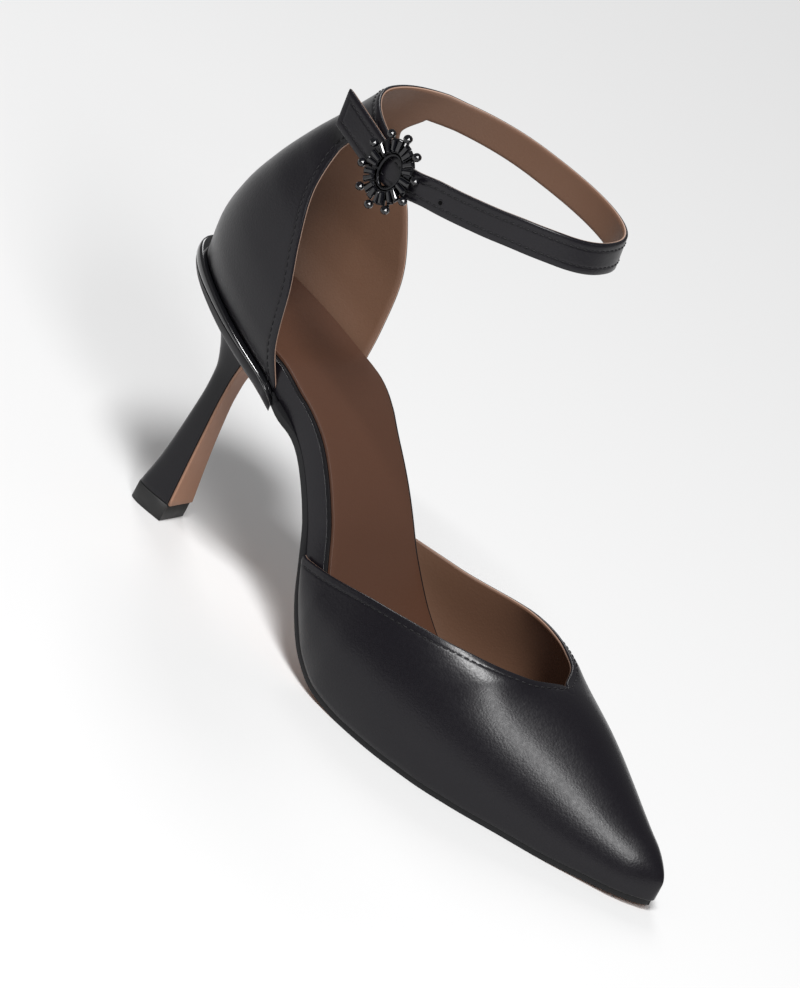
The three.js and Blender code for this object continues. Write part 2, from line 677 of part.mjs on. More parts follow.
// The heel's flare up to the seat: x in shares of SEAT_LENGTH, drops below the bed in shares of
// SEAT_RISE, half widths in shares of SEAT_WIDTH. The middle of the front lies deeper than its
// corners, between the wings.
const HEEL_FLARE = [
  { backX: 0.424, backDrop: 0.303, frontX: 0.556, frontDrop: 0.294, half: 0.083, midX: 0.556, midDrop: 0.294 },
  { backX: 0.383, backDrop: 0.218, frontX: 0.573, frontDrop: 0.204, half: 0.103, midX: 0.576, midDrop: 0.198 },
  { backX: 0.302, backDrop: 0.137, frontX: 0.604, frontDrop: 0.131, half: 0.147, midX: 0.61, midDrop: 0.118 },
  { backX: 0.207, backDrop: 0.081, frontX: 0.655, frontDrop: 0.09, half: 0.235, midX: 0.664, midDrop: 0.061 },
  { backX: 0.112, backDrop: 0.04, frontX: 0.767, frontDrop: 0.073, half: 0.367, midX: 0.733, midDrop: 0.031 },
  { backX: 0.038, backDrop: 0.014, frontX: 0.914, frontDrop: 0.056, half: 0.456, midX: 0.802, midDrop: 0.016 },
  { backX: 0.02, backDrop: 0.006, frontX: 0.991, frontDrop: 0.034, half: 0.471, midX: 0.845, midDrop: 0.009 },
];
const PLATE_MOUTH = 0.862;
const MOUTH_CORNER = 6;
const RIM_BACK = 0.8;
const HEEL_TOP_INSET = 0.5;
const PLATE_FOOT_INSET = 0.2;
const PLATE_TOP_INSET = 0.3;
const SEAT_INNER_ROWS = 4;

const SEAT_ROUNDNESS = 2.35;
const NECK_ROUNDNESS = 2.9;
const STEM_SWELL = 0.03;
const SEAT_SWELL = 0.1;
const HEEL_ROWS = 16;
// The sections between these two steps of the tables take on the slant of the bed across the heel.
const SLANT_FROM = 5;
const SLANT_FULL = 9;

// A heel section: its back runs from the lateral corner round to the medial one, its front goes
// straight across.
function heelSection(row, count) {
  const corner = place(row.frontX, row.half, row.frontZ);
  const back = [];
  const front = [];
  for (const t of steps(count)) {
    const turn = t * Math.PI;
    const along = Math.pow(Math.sin(turn), 2 / row.round);
    const across = Math.sign(Math.cos(turn)) * Math.pow(Math.abs(Math.cos(turn)), 2 / row.round);
    const swell = 1 + row.swell * Math.sin(Math.PI * along);
    const y = LATERAL * across * corner.y;
    back.push(place(blend(row.frontX, row.backX, along), y * swell, blend(row.frontZ, row.backZ, along)));
    const recess = 1 - Math.pow(Math.abs(across), MOUTH_CORNER);
    front.push(place(blend(row.frontX, row.middleX, recess), y, blend(row.frontZ, row.middleZ, recess)));
  }
  return { back, front };
}

// A solid lofted through sections that each have a back and a front with as many points.
function loft(sections) {
  const skin = new Skin();
  const [first, last] = [sections[0], sections[sections.length - 1]];
  const end = first.back.length - 1;
  skin.sheet(sections.map((section) => section.back));
  skin.sheet(sections.map((section) => section.front), true);
  const cap = (section) => [section.front, ...(section.inner ?? []), section.back];
  skin.sheet(cap(last), true).sheet(cap(first));
  const column = (name, i) => sections.map((section) => section[name][i]);
  skin.sheet([column('front', 0), column('back', 0)], true);
  skin.sheet([column('front', end), column('back', end)]);
  return skin.geometry();
}

// The heel's sections from the top piece up to the seat, in millimetres.
function heelSections(count) {
  const rows = HEEL_STEM.map((row) => {
    const front = SEAT_LENGTH * row.front;
    const z = SEAT_RISE * row.z;
    const back = front - TOP_PIECE_LENGTH * row.depth;
    const half = (TOP_PIECE_WIDTH * row.width) / 2;
    return { backX: back, backZ: z, frontX: front, frontZ: z, half, middleX: front, middleZ: z,
      round: row.round, swell: STEM_SWELL };
  });
  HEEL_FLARE.forEach((row, i) => {
    const t = (i + 1) / HEEL_FLARE.length;
    const below = (x, dropShare) => bedHeight(SEAT_LENGTH * x, 0, 0) - SEAT_RISE * dropShare;
    rows.push({
      backX: SEAT_LENGTH * row.backX,
      backZ: below(row.backX, row.backDrop),
      frontX: SEAT_LENGTH * row.frontX,
      frontZ: below(row.frontX, row.frontDrop),
      half: SEAT_WIDTH * row.half,
      middleX: SEAT_LENGTH * row.midX,
      middleZ: below(row.midX, row.midDrop),
      round: blend(NECK_ROUNDNESS, SEAT_ROUNDNESS, t),
      swell: SEAT_SWELL * t,
    });
  });
  rows.forEach((row, i) => { row.step = i; });
  const smooth = Object.fromEntries(Object.keys(rows[0]).map((name) => [name, through(rows, 'step', name)]));
  const sections = steps(HEEL_ROWS).map((t) => {
    const step = t * (rows.length - 1);
    const row = Object.fromEntries(Object.entries(smooth).map(([name, value]) => [name, value(step)]));
    const section = heelSection(row, count);
    const lean = THREE.MathUtils.smoothstep(step, SLANT_FROM, SLANT_FULL);
    [...section.back, ...section.front].forEach((point) => {
      point.z += lean * (bedHeight(point.x, point.y, 0) - bedHeight(point.x, 0, 0));
    });
    return section;
  });
  sections.push(seatSection(-GAP, HEEL_TOP_INSET, count));
  return sections;
}

// A section that lies over the bed at the seat, with the mouth between its wings.
function seatSection(lift, inset, count) {
  const row = { backX: RIM_BACK + inset, backZ: 0, frontX: SEAT_LENGTH - inset, frontZ: 0,
    half: SEAT_WIDTH / 2 - inset, middleX: PLATE_MOUTH * SEAT_LENGTH, middleZ: 0,
    round: SEAT_ROUNDNESS, swell: SEAT_SWELL };
  const section = heelSection(row, count);
  const liftAt = typeof lift === 'function' ? lift : () => lift;
  const between = (t) => section.front.map((point, i) => point.clone().lerp(section.back[i], t));
  section.inner = steps(SEAT_INNER_ROWS + 1).slice(1, -1).map(between);
  [section.back, section.front, ...section.inner].flat().forEach((point) => {
    point.z = bedHeight(point.x, point.y, liftAt(point.x));
  });
  return section;
}

const HEEL_COLUMNS = 20;
const makeHeel = () => loft(heelSections(HEEL_COLUMNS));
const makeSeatPlate = () => loft([
  seatSection(0, PLATE_FOOT_INSET, HEEL_COLUMNS),
  seatSection((x) => plateLift(x) / 2, 0, HEEL_COLUMNS),
  seatSection(plateLift, PLATE_TOP_INSET, HEEL_COLUMNS),
]);

// The thin cover on the heel's breast, a few columns in from the heel's corners.
const BREAST_MARGIN = 3;
function makeBreastCover() {
  const sections = heelSections(HEEL_COLUMNS);
  const inside = (section) => section.front.slice(BREAST_MARGIN, -BREAST_MARGIN);
  const rows = sections.slice(0, -1).map(inside);
  const face = new Skin().sheet(rows, true);
  const normals = face.normals();
  const outer = new Skin();
  const reach = GAP + BREAST_THICKNESS;
  outer.points = face.points.map((point, i) => point.clone().addScaledVector(normals[i], reach));
  outer.faces = face.faces;
  return outer.thickened(BREAST_THICKNESS).geometry();
}

const TOP_PIECE_FRONT = 0.61 * SEAT_LENGTH;
const TOP_PIECE_SWELL = 0.02;
const TOP_PIECE_COLUMNS = 14;
function makeTopPiece() {
  const section = (z) => heelSection({ backX: TOP_PIECE_FRONT - TOP_PIECE_LENGTH, backZ: z,
    frontX: TOP_PIECE_FRONT, frontZ: z, half: TOP_PIECE_WIDTH / 2, middleX: TOP_PIECE_FRONT, middleZ: z,
    round: HEEL_STEM[0].round, swell: TOP_PIECE_SWELL }, TOP_PIECE_COLUMNS);
  return loft([section(0), section(SEAT_RISE * HEEL_STEM[0].z - GAP)]);
}

// Joins closed geometries into one.
function join(geometries) {
  const solids = geometries.map((geometry) => {
    const bare = geometry.clone();
    bare.deleteAttribute('normal');
    bare.deleteAttribute('uv');
    const welded = mergeVertices(bare, 1e-4);
    const mesh = new wasm.Mesh({
      numProp: 3,
      vertProperties: new Float32Array(welded.attributes.position.array),
      triVerts: new Uint32Array(welded.index.array),
    });
    return new wasm.Manifold(mesh);
  });
  const mesh = solids.reduce((sum, solid) => sum.add(solid)).getMesh();
  const geometry = new THREE.BufferGeometry();
  geometry.setAttribute('position', new THREE.BufferAttribute(mesh.vertProperties, 3));
  geometry.setIndex(new THREE.BufferAttribute(mesh.triVerts, 1));
  geometry.computeVertexNormals();
  return geometry;
}

// The buckle's own frame: x along the strap, y up its width, z out of its outer face.
const BUCKLE_DEGREES = 287.5;
function buckleFrame() {
  const middle = (turn) => onStrap(turn, 0).add(onStrap(turn, 1)).multiplyScalar(0.5);
  const along = middle(BUCKLE_DEGREES - 1).sub(middle(BUCKLE_DEGREES + 1)).normalize();
  const up = onStrap(BUCKLE_DEGREES, 1).sub(onStrap(BUCKLE_DEGREES, 0)).normalize();
  const out = along.clone().cross(up).normalize();
  up.copy(out).cross(along);
  return new THREE.Matrix4().makeBasis(along, up, out).setPosition(middle(BUCKLE_DEGREES));
}

const RING_HALF_X = RING_OPENING_WIDTH / 2 + RING_BAND;
const RING_HALF_Y = RING_OPENING_HEIGHT / 2 + RING_BAND;
const BASE_REACH = 3.2;
const BASE_DEPTH = 0.8;
const STEM_WIDTH = 0.9;
const STEM_ROOT = 1;
const RING_SEGMENTS = 14;
const BAR_SEGMENTS = 12;

// An oval band with its own opening, from a floor up to a top.
function ovalBand(reach, floor, top) {
  const oval = (Kind, halfX, halfY) => new Kind().absellipse(0, 0, halfX, halfY, 0, Math.PI * 2);
  const shape = oval(THREE.Shape, RING_HALF_X + reach, RING_HALF_Y + reach);
  shape.holes.push(oval(THREE.Path, RING_OPENING_WIDTH / 2, RING_OPENING_HEIGHT / 2));
  const settings = { depth: top - floor, bevelEnabled: false, curveSegments: RING_SEGMENTS };
  return new THREE.ExtrudeGeometry(shape, settings).translate(0, 0, floor);
}

// A point on an oval that lies a reach outside the ring, at a turn round the buckle.
function aroundRing(turn, reach) {
  return place((RING_HALF_X + reach) * Math.cos(turn), (RING_HALF_Y + reach) * Math.sin(turn), 0);
}

// The ring, its base, the beads on their stems and the bar behind the strap are one casting.
function makeBuckle() {
  const floor = GAP;
  const parts = [ovalBand(0, floor, floor + RING_DEPTH), ovalBand(BASE_REACH, floor, floor + BASE_DEPTH)];
  for (const turn of beadTurns()) {
    const from = aroundRing(turn, BASE_REACH - STEM_ROOT);
    const to = aroundRing(turn, BEAD_REACH);
    const length = to.distanceTo(from);
    const stem = new THREE.BoxGeometry(length, STEM_WIDTH, BASE_DEPTH);
    stem.translate(length / 2, 0, 0).rotateZ(Math.atan2(to.y - from.y, to.x - from.x));
    parts.push(stem.translate(from.x, from.y, floor + BASE_DEPTH / 2));
    const bead = new THREE.IcosahedronGeometry(BEAD_DIAMETER / 2);
    parts.push(bead.translate(to.x, to.y, floor + BEAD_DIAMETER / 2));
  }
  const post = STRAP_WIDTH / 2 + GAP + BAR_DIAMETER / 2;
  const barZ = -UPPER_WALL - GAP - BAR_DIAMETER / 2;
  const thick = BAR_DIAMETER / 2;
  const bar = new THREE.CylinderGeometry(thick, thick, 2 * (post + thick), BAR_SEGMENTS);
  parts.push(bar.translate(0, 0, barZ));
  for (const end of [-1, 1]) {
    const height = floor + BASE_DEPTH - barZ + BAR_DIAMETER / 2;
    const pillar = new THREE.BoxGeometry(BAR_DIAMETER, BAR_DIAMETER, height);
    parts.push(pillar.translate(0, end * post, barZ - BAR_DIAMETER / 2 + height / 2));
  }
  return join(parts).applyMatrix4(buckleFrame());
}

const BEAD_COUNT = 10;
const BEAD_REACH = 5.9;
const BAGUETTE_PAIRS = 10;
const PAIR_SPREAD = 0.44;
const BAGUETTE_HEIGHT = 1.1;
const BAGUETTE_SEAT = 0.1;
const BAGUETTE_NARROW_SHARE = 0.8;
const BAGUETTE_FLOOR_SHARE = 0.9;
const BAGUETTE_TABLE_SHARE = 0.72;
const PAIR_SEAT_LENGTH = 2.6;
const PAIR_SEAT_DEPTH = 0.4;
const beadTurns = () => steps(BEAD_COUNT).slice(1).map((t) => (t - 0.5 / BEAD_COUNT) * Math.PI * 2);

// What lies on the base at a turn and points away from the ring.
function onBase(geometry, turn) {
  const inner = aroundRing(turn, GAP + BAGUETTE_SEAT);
  const out = aroundRing(turn, 1).sub(inner).normalize();
  const seat = new THREE.Matrix4().makeRotationZ(Math.atan2(out.y, out.x)).setPosition(inner);
  return geometry.applyMatrix4(seat);
}

// A step-cut stone.
function makeBaguette(turn) {
  const middle = BAGUETTE_LENGTH / 2;
  const outer = BAGUETTE_WIDTH / 2;
  const narrow = outer * BAGUETTE_NARROW_SHARE;
  const corners = [[-middle, -narrow], [middle, -outer], [middle, outer], [-middle, narrow]];
  const outline = (scale, z) => corners.map(([x, y]) => place(middle + x * scale, y * scale, z));
  const floor = 2 * GAP + BASE_DEPTH;
  const levels = [
    outline(BAGUETTE_FLOOR_SHARE, floor),
    outline(1, floor + BAGUETTE_HEIGHT / 2),
    outline(BAGUETTE_TABLE_SHARE, floor + BAGUETTE_HEIGHT),
  ];
  const skin = new Skin();
  skin.sheet(levels.map((ring) => [...ring, ring[0]]), true);
  const [bottom, , top] = levels;
  skin.sheet([[bottom[0], bottom[1]], [bottom[3], bottom[2]]]);
  skin.sheet([[top[0], top[1]], [top[3], top[2]]], true);
  return onBase(skin.geometry(), turn);
}

// Two stones that share a thin seat.
function makeStonePair(turn) {
  const half = (PAIR_SPREAD / BAGUETTE_PAIRS) * Math.PI;
  const seat = new THREE.BoxGeometry(PAIR_SEAT_LENGTH, 2 * BAGUETTE_WIDTH, PAIR_SEAT_DEPTH);
  seat.translate(BAGUETTE_LENGTH / 2, 0, 2 * GAP + BASE_DEPTH + PAIR_SEAT_DEPTH / 2);
  const stones = [makeBaguette(turn - half), makeBaguette(turn + half), onBase(seat, turn)];
  return join(stones).applyMatrix4(buckleFrame());
}

const LEATHER = { color: 0x18191c, roughness: 0.42, metalness: 0 };
const PIECES = [
  ['outsole', makeOutsole, { color: 0x86634f, roughness: 0.6, metalness: 0 }],
  ['insole_board', makeInsoleBoard, LEATHER],
  ['sock_lining', makeSock, { color: 0x5d3a2a, roughness: 0.6, metalness: 0 }],
  ['vamp', makeVamp, LEATHER],
  ['counter', makeCounter, LEATHER],
  ['ankle_strap', makeStrap, LEATHER],
  ['seat_plate', makeSeatPlate, { color: 0x0c0c0e, roughness: 0.08, metalness: 0.6 }],
  ['heel', makeHeel, { color: 0x1d1e21, roughness: 0.35, metalness: 0 }],
  ['breast_cover', makeBreastCover, { color: 0x86634f, roughness: 0.6, metalness: 0 }],
  ['top_piece', makeTopPiece, { color: 0x1a1a1b, roughness: 0.55, metalness: 0 }],
  ['buckle', makeBuckle, { color: 0x2a2a2d, roughness: 0.25, metalness: 0.9 }],
];
const STONE = { color: 0x0d0d10, roughness: 0.05, metalness: 0.2 };
for (let pair = 0; pair < BAGUETTE_PAIRS; pair += 1) {
  const turn = (pair / BAGUETTE_PAIRS) * Math.PI * 2;
  PIECES.push([`stone_pair_${pair + 1}`, () => makeStonePair(turn), STONE]);
}

const shoe = new THREE.Group();
for (const [name, make, look] of PIECES) {
  const mesh = new THREE.Mesh(make(), new THREE.MeshStandardMaterial(look));
  mesh.name = name;
  shoe.add(mesh);
}
const box = new THREE.Box3().setFromObject(shoe);
shoe.position.set(-(box.min.x + box.max.x) / 2, -(box.min.y + box.max.y) / 2, -box.min.z);

export default shoe;
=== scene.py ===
"""Ankle strap pump, right shoe: smooth black leather, open sides and a jewelled oval buckle.

Lengths in the tables and functions are millimetres in the shoe's own frame: x runs from the rim
behind the heel seat to the toe, y to the medial side and z up from the floor.
"""

import math
import random

import bmesh
import bpy
from mathutils import Matrix, Vector
from mathutils.bvhtree import BVHTree


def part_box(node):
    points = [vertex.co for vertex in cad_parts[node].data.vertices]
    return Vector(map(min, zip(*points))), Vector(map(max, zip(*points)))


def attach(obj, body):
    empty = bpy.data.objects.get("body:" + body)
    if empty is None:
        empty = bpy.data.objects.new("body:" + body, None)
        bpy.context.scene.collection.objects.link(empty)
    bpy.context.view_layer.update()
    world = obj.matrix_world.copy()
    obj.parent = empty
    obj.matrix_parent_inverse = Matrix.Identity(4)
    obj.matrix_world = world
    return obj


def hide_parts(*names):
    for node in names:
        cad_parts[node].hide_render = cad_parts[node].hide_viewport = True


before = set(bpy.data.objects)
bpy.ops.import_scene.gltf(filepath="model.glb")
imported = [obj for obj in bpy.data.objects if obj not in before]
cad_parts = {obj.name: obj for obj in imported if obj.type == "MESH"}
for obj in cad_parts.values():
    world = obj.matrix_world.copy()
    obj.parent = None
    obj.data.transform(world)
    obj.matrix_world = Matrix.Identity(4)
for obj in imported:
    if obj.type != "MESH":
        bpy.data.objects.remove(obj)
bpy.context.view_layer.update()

LATERAL = -1
MEDIAL = 1

SHOE_LENGTH = 239.0
SEAT_RISE = 81.0
BALL_WIDTH = 71.0
SEAT_LENGTH = 58.0
SEAT_WIDTH = 45.0
ANKLE_LENGTH = 90.0
ANKLE_WIDTH = 56.0
COLLAR_RISE = 162.0
THROAT_REACH = 181.0
THROAT_RISE = 41.5
NOSE_LENGTH = 11.0
UPPER_WALL = 1.6
OUTSOLE_THICKNESS = 2.0
BOARD_THICKNESS = 6.4
SOCK_THICKNESS = 1.0
SOCK_INSET = 1.8
PLATE_THICKNESS = 4.2
PLATE_TIP_THICKNESS = 1.0
STRAP_WIDTH = 9.5
TOP_PIECE_LENGTH = 14.3
TOP_PIECE_WIDTH = 13.0
TOP_PIECE_FRONT = 0.61 * SEAT_LENGTH
SEAM = 0.3

# The shoe's frame lies in the row's frame as the heel's top piece does.
heel_low, heel_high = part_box("top_piece")
ORIGIN = Vector((heel_high.x - TOP_PIECE_FRONT / 1000, (heel_low.y + heel_high.y) / 2, 0))


def clamp(value, low=0.0, high=1.0):
    return max(low, min(high, value))


def mix(a, b, t):
    return a + (b - a) * t


def smooth_step(value, low, high):
    t = clamp((value - low) / (high - low))
    return t * t * (3 - 2 * t)


def steps(count):
    return [i / count for i in range(count + 1)]


def through(rows, column):
    """A smooth function through two columns of a table, which never swings past its rows."""
    xs = [row[0] for row in rows]
    ys = [row[column] for row in rows]
    slopes = [(ys[i + 1] - ys[i]) / (xs[i + 1] - xs[i]) for i in range(len(xs) - 1)]
    tangents = []
    for i in range(len(xs)):
        before = slopes[max(i - 1, 0)]
        after = slopes[min(i, len(slopes) - 1)]
        tangents.append(0.0 if before * after <= 0 else 2 * before * after / (before + after))

    def value(x):
        i = 0
        while i < len(xs) - 2 and x > xs[i + 1]:
            i += 1
        span = xs[i + 1] - xs[i]
        t = clamp((x - xs[i]) / span)
        t2 = t * t
        t3 = t2 * t
        return (
            (2 * t3 - 3 * t2 + 1) * ys[i]
            + (t3 - 2 * t2 + t) * span * tangents[i]
            + (3 * t2 - 2 * t3) * ys[i + 1]
            + (t3 - t2) * span * tangents[i + 1]
        )

    return value


# Underside of the sole along the middle: x in shares of SHOE_LENGTH, z in shares of SEAT_RISE.
BED = [
    (0, 1), (0.125, 0.918), (0.208, 0.858), (0.238, 0.828), (0.271, 0.762), (0.304, 0.692),
    (0.333, 0.614), (0.375, 0.476), (0.404, 0.362), (0.45, 0.198), (0.5, 0.076), (0.542, 0.022),
    (0.592, 0), (0.85, 0), (0.93, 0.01), (1, 0.022),
]
# Millimetres along by which the lateral edge lags for each millimetre across.
TWIST = [(0.08, 0), (0.25, 0.28), (0.42, 0.28), (0.53, 0.24), (0.63, 0.05), (0.7, 0)]
# Plan of the last's edge, lateral and medial, in shares of BALL_WIDTH from the heel's axis.
PLAN = [
    (0, 0.32, 0.32), (0.2, 0.305, 0.305), (0.25, 0.295, 0.295), (0.31, 0.275, 0.265),
    (0.375, 0.3, 0.265), (0.44, 0.375, 0.305), (0.5, 0.445, 0.365), (0.56, 0.495, 0.425),
    (0.625, 0.515, 0.47), (0.69, 0.49, 0.485), (0.75, 0.43, 0.465), (0.81, 0.345, 0.415),
    (0.875, 0.255, 0.325), (0.93, 0.165, 0.23), (0.97, 0.1, 0.16), (1, 0.05, 0.11),
]
bed_rise = through(BED, 1)
twist_lag = through(TWIST, 1)
plan_lateral = through(PLAN, 1)
plan_medial = through(PLAN, 2)


def over_bed(x, y, lift):
    """A point over the sole's underside: x along the middle, y across, lift square to it."""
    share = x / SHOE_LENGTH
    nudge = 0.004
    rise = SEAT_RISE * bed_rise(share)
    run = 2 * nudge * SHOE_LENGTH
    slope = SEAT_RISE * (bed_rise(share + nudge) - bed_rise(share - nudge)) / run
    length = math.hypot(1, slope)
    back = twist_lag(share) * y * LATERAL
    return Vector((x - back - slope / length * lift, y, rise + lift / length))


def station_at(x, y, lift):
    """The station along the middle whose point over the bed lies at x."""
    station = x
    for _ in range(12):
        station += 0.8 * (x - over_bed(station, y, lift).x)
    return station


def bed_height(x, y, lift):
    return over_bed(station_at(x, y, lift), y, lift).z


def nose_share(x):
    into = (x - (SHOE_LENGTH - NOSE_LENGTH)) / NOSE_LENGTH
    return 1.0 if into <= 0 else math.sqrt(max(1 - into * into, 0))


def middle_y(x):
    share = x / SHOE_LENGTH
    return BALL_WIDTH * (plan_medial(share) - plan_lateral(share)) / 2


def edge_y(x, side, inset=0.0):
    share = x / SHOE_LENGTH
    half = BALL_WIDTH * (plan_medial(share) + plan_lateral(share)) / 2
    return middle_y(x) + side * max(half - inset, 0) * nose_share(x + inset)


def closing(start, end, count):
    """Stations set closer towards the end."""
    return [start + (end - start) * math.sin(t * math.pi / 2) for t in steps(count)]


def opening(start, end, count):
    """Stations set closer towards the start."""
    return [end - (end - start) * math.cos(t * math.pi / 2) for t in steps(count)]


EDGE_BAND = 8.0
FAR_FROM_EDGE = 20.0


class Skin:
    """Welded points and quads, with a finish for each face and an edge distance for each point."""

    def __init__(self):
        self.points = []
        self.faces = []
        self.finishes = []
        self.known = {}
        self.edge = {}

    def vertex(self, point):
        key = (round(point.x, 3), round(point.y, 3), round(point.z, 3))
        if key not in self.known:
            self.points.append(Vector(point))
            self.known[key] = len(self.points) - 1
        return self.known[key]

    def face(self, corners, finish=0):
        kept = []
        for corner in corners:
            if corner not in kept:
                kept.append(corner)
        if len(kept) > 2:
            self.faces.append(kept)
            self.finishes.append(finish)

    def sheet(self, rows, flipped=False, finish=0):
        ids = [[self.vertex(point) for point in row] for row in rows]
        for low, high in zip(ids, ids[1:]):
            for j in range(len(low) - 1):
                quad = [low[j], high[j], high[j + 1], low[j + 1]]
                self.face(quad[::-1] if flipped else quad, finish)
        return ids

    def normals(self):
        sums = [Vector() for _ in self.points]
        for face in self.faces:
            first = self.points[face[0]]
            for a, b in zip(face[1:], face[2:]):
                normal = (self.points[a] - first).cross(self.points[b] - first)
                for corner in (face[0], a, b):
                    sums[corner] += normal
        return [total.normalized() for total in sums]

    def walled(self, wall, rim, inside, foot=()):
        """An open skin becomes a wall. The rim's rows give depth in shares of the wall, the swell past
        the edge in millimetres and the finish up to that depth; edges in foot keep a plain rim."""
        normals = self.normals()
        count = len(self.points)
        outer = list(self.points)
        following = {}
        directed = set()
        for face in self.faces:
            for a, b in zip(face, face[1:] + face[:1]):
                directed.add((a, b))
        border = [(a, b) for a, b in directed if (b, a) not in directed]
        along = {}
        for a, b in border:
            step = (outer[b] - outer[a]).normalized()
            along[a] = along.get(a, Vector()) + step
            along[b] = along.get(b, Vector()) + step
            following[a] = b
        for i in range(count):
            self.points.append(outer[i] - normals[i] * wall)
        for face, finish in list(zip(self.faces, self.finishes)):
            self.faces.append([corner + count for corner in reversed(face)])
            self.finishes.append(inside)
        rings = {}
        for a in following:
            aside = along[a].normalized().cross(normals[a]).normalized()
            ring = [a]
            for depth, swell, _ in rim[:-1]:
                self.points.append(outer[a] - normals[a] * wall * depth + aside * swell)
                ring.append(len(self.points) - 1)
            ring.append(a + count)
            rings[a] = ring
        for a, b in border:
            plain = a in foot and b in foot
            for k, (_, _, finish) in enumerate(rim):
                quad = [rings[a][k], rings[a][k + 1], rings[b][k + 1], rings[b][k]]
                self.face(quad, 0 if plain else finish)
        return following

    def volume(self):
        total = 0.0
        for face in self.faces:
            first = self.points[face[0]]
            for a, b in zip(face[1:], face[2:]):
                total += first.dot(self.points[a].cross(self.points[b])) / 6
        return total


def shown(name, skin, finishes, smooth=True, edge_name=None):
    """A mesh in the row's frame, with its outside outwards and its finishes in order."""
    mesh = bpy.data.meshes.new(name)
    faces = skin.faces
    if skin.volume() < 0:
        faces = [list(reversed(face)) for face in faces]
    mesh.from_pydata([ORIGIN + point / 1000 for point in skin.points], [], faces)
    for finish in finishes:
        mesh.materials.append(finish)
    mesh.polygons.foreach_set("material_index", skin.finishes)
    mesh.polygons.foreach_set("use_smooth", [smooth] * len(faces))
    if edge_name:
        layer = mesh.attributes.new(edge_name, "FLOAT", "POINT")
        layer.data.foreach_set("value", [skin.edge.get(i, FAR_FROM_EDGE) for i in range(len(skin.points))])
    mesh.update()
    piece = bpy.data.objects.new(name, mesh)
    bpy.context.scene.collection.objects.link(piece)
    return piece


def bevelled(piece, width, segments=3, angle=35, finish=-1):
    """Breaks a piece's sharp edges by a width in millimetres."""
    bevel = piece.modifiers.new("broken edges", "BEVEL")
    bevel.width = width / 1000
    bevel.segments = segments
    bevel.limit_method = "ANGLE"
    bevel.angle_limit = math.radians(angle)
    bevel.material = finish
    return piece


# Finishes

STITCH_INSET = 2.0
GROOVE_WIDTH = 0.45
GROOVE_DEPTH = 0.45
RELIEF_DISTANCE = 0.0003
FINE_GRAIN = 0.6
PORE_GLOSS = 0.16


def tree_of(name, base, roughness, metallic=0.0, specular=0.5):
    """A material with its own Principled shader."""
    material = bpy.data.materials.new(name)
    material.use_nodes = True
    shader = material.node_tree.nodes["Principled BSDF"]
    shader.inputs["Base Color"].default_value = (*base, 1)
    shader.inputs["Roughness"].default_value = roughness
    shader.inputs["Metallic"].default_value = metallic
    shader.inputs["Specular IOR Level"].default_value = specular
    material.diffuse_color = (*base, 1)
    return material, material.node_tree, shader


def group_of(name, inputs, outputs):
    """An empty shader group with named float inputs and outputs."""
    group = bpy.data.node_groups.new(name, "ShaderNodeTree")
    for label, value in inputs:
        socket = group.interface.new_socket(label, in_out="INPUT", socket_type="NodeSocketFloat")
        socket.default_value = value
    for label, kind in outputs:
        group.interface.new_socket(label, in_out="OUTPUT", socket_type=kind)
    start = group.nodes.new("NodeGroupInput")
    end = group.nodes.new("NodeGroupOutput")
    return group, start, end


def math_node(tree, operation, a, b):
    node = tree.nodes.new("ShaderNodeMath")
    node.operation = operation
    for index, value in enumerate((a, b)):
        if isinstance(value, (int, float)):
            node.inputs[index].default_value = value
        else:
            tree.links.new(value, node.inputs[index])
    return node.outputs[0]


def make_grain_group():
    """Fine leather grain: pebbles, hair-thin pores and broad unevenness, in object space."""
    group, start, end = group_of(
        "leather grain",
        [("Pebbles per metre", 1500), ("Depth", 0.05), ("Roughness", 0.36), ("Unevenness", 0.05)],
        [("Height", "NodeSocketFloat"), ("Gloss", "NodeSocketFloat")],
    )
    links = group.links
    place = group.nodes.new("ShaderNodeTexCoord")
    pebble = group.nodes.new("ShaderNodeTexVoronoi")
    pebble.feature = "SMOOTH_F1"
    pebble.inputs["Smoothness"].default_value = 0.6
    fine = group.nodes.new("ShaderNodeTexNoise")
    fine.inputs["Detail"].default_value = 4
    broad = group.nodes.new("ShaderNodeTexNoise")
    broad.inputs["Scale"].default_value = 55
    broad.inputs["Detail"].default_value = 2
    links.new(place.outputs["Object"], pebble.inputs["Vector"])
    links.new(place.outputs["Object"], fine.inputs["Vector"])
    links.new(place.outputs["Object"], broad.inputs["Vector"])
    links.new(start.outputs["Pebbles per metre"], pebble.inputs["Scale"])
    links.new(math_node(group, "MULTIPLY", start.outputs["Pebbles per metre"], FINE_GRAIN), fine.inputs["Scale"])
    rough = math_node(group, "ADD", pebble.outputs["Distance"], fine.outputs["Fac"])
    links.new(math_node(group, "MULTIPLY", rough, start.outputs["Depth"]), end.inputs["Height"])
    cloud = math_node(group, "SUBTRACT", broad.outputs["Fac"], 0.5)
    shift = math_node(group, "MULTIPLY", cloud, start.outputs["Unevenness"])
    pore = math_node(group, "SUBTRACT", fine.outputs["Fac"], 0.5)
    pores = math_node(group, "MULTIPLY", pore, PORE_GLOSS)
    gloss = math_node(group, "ADD", start.outputs["Roughness"], math_node(group, "ADD", shift, pores))
    links.new(gloss, end.inputs["Gloss"])
    return group


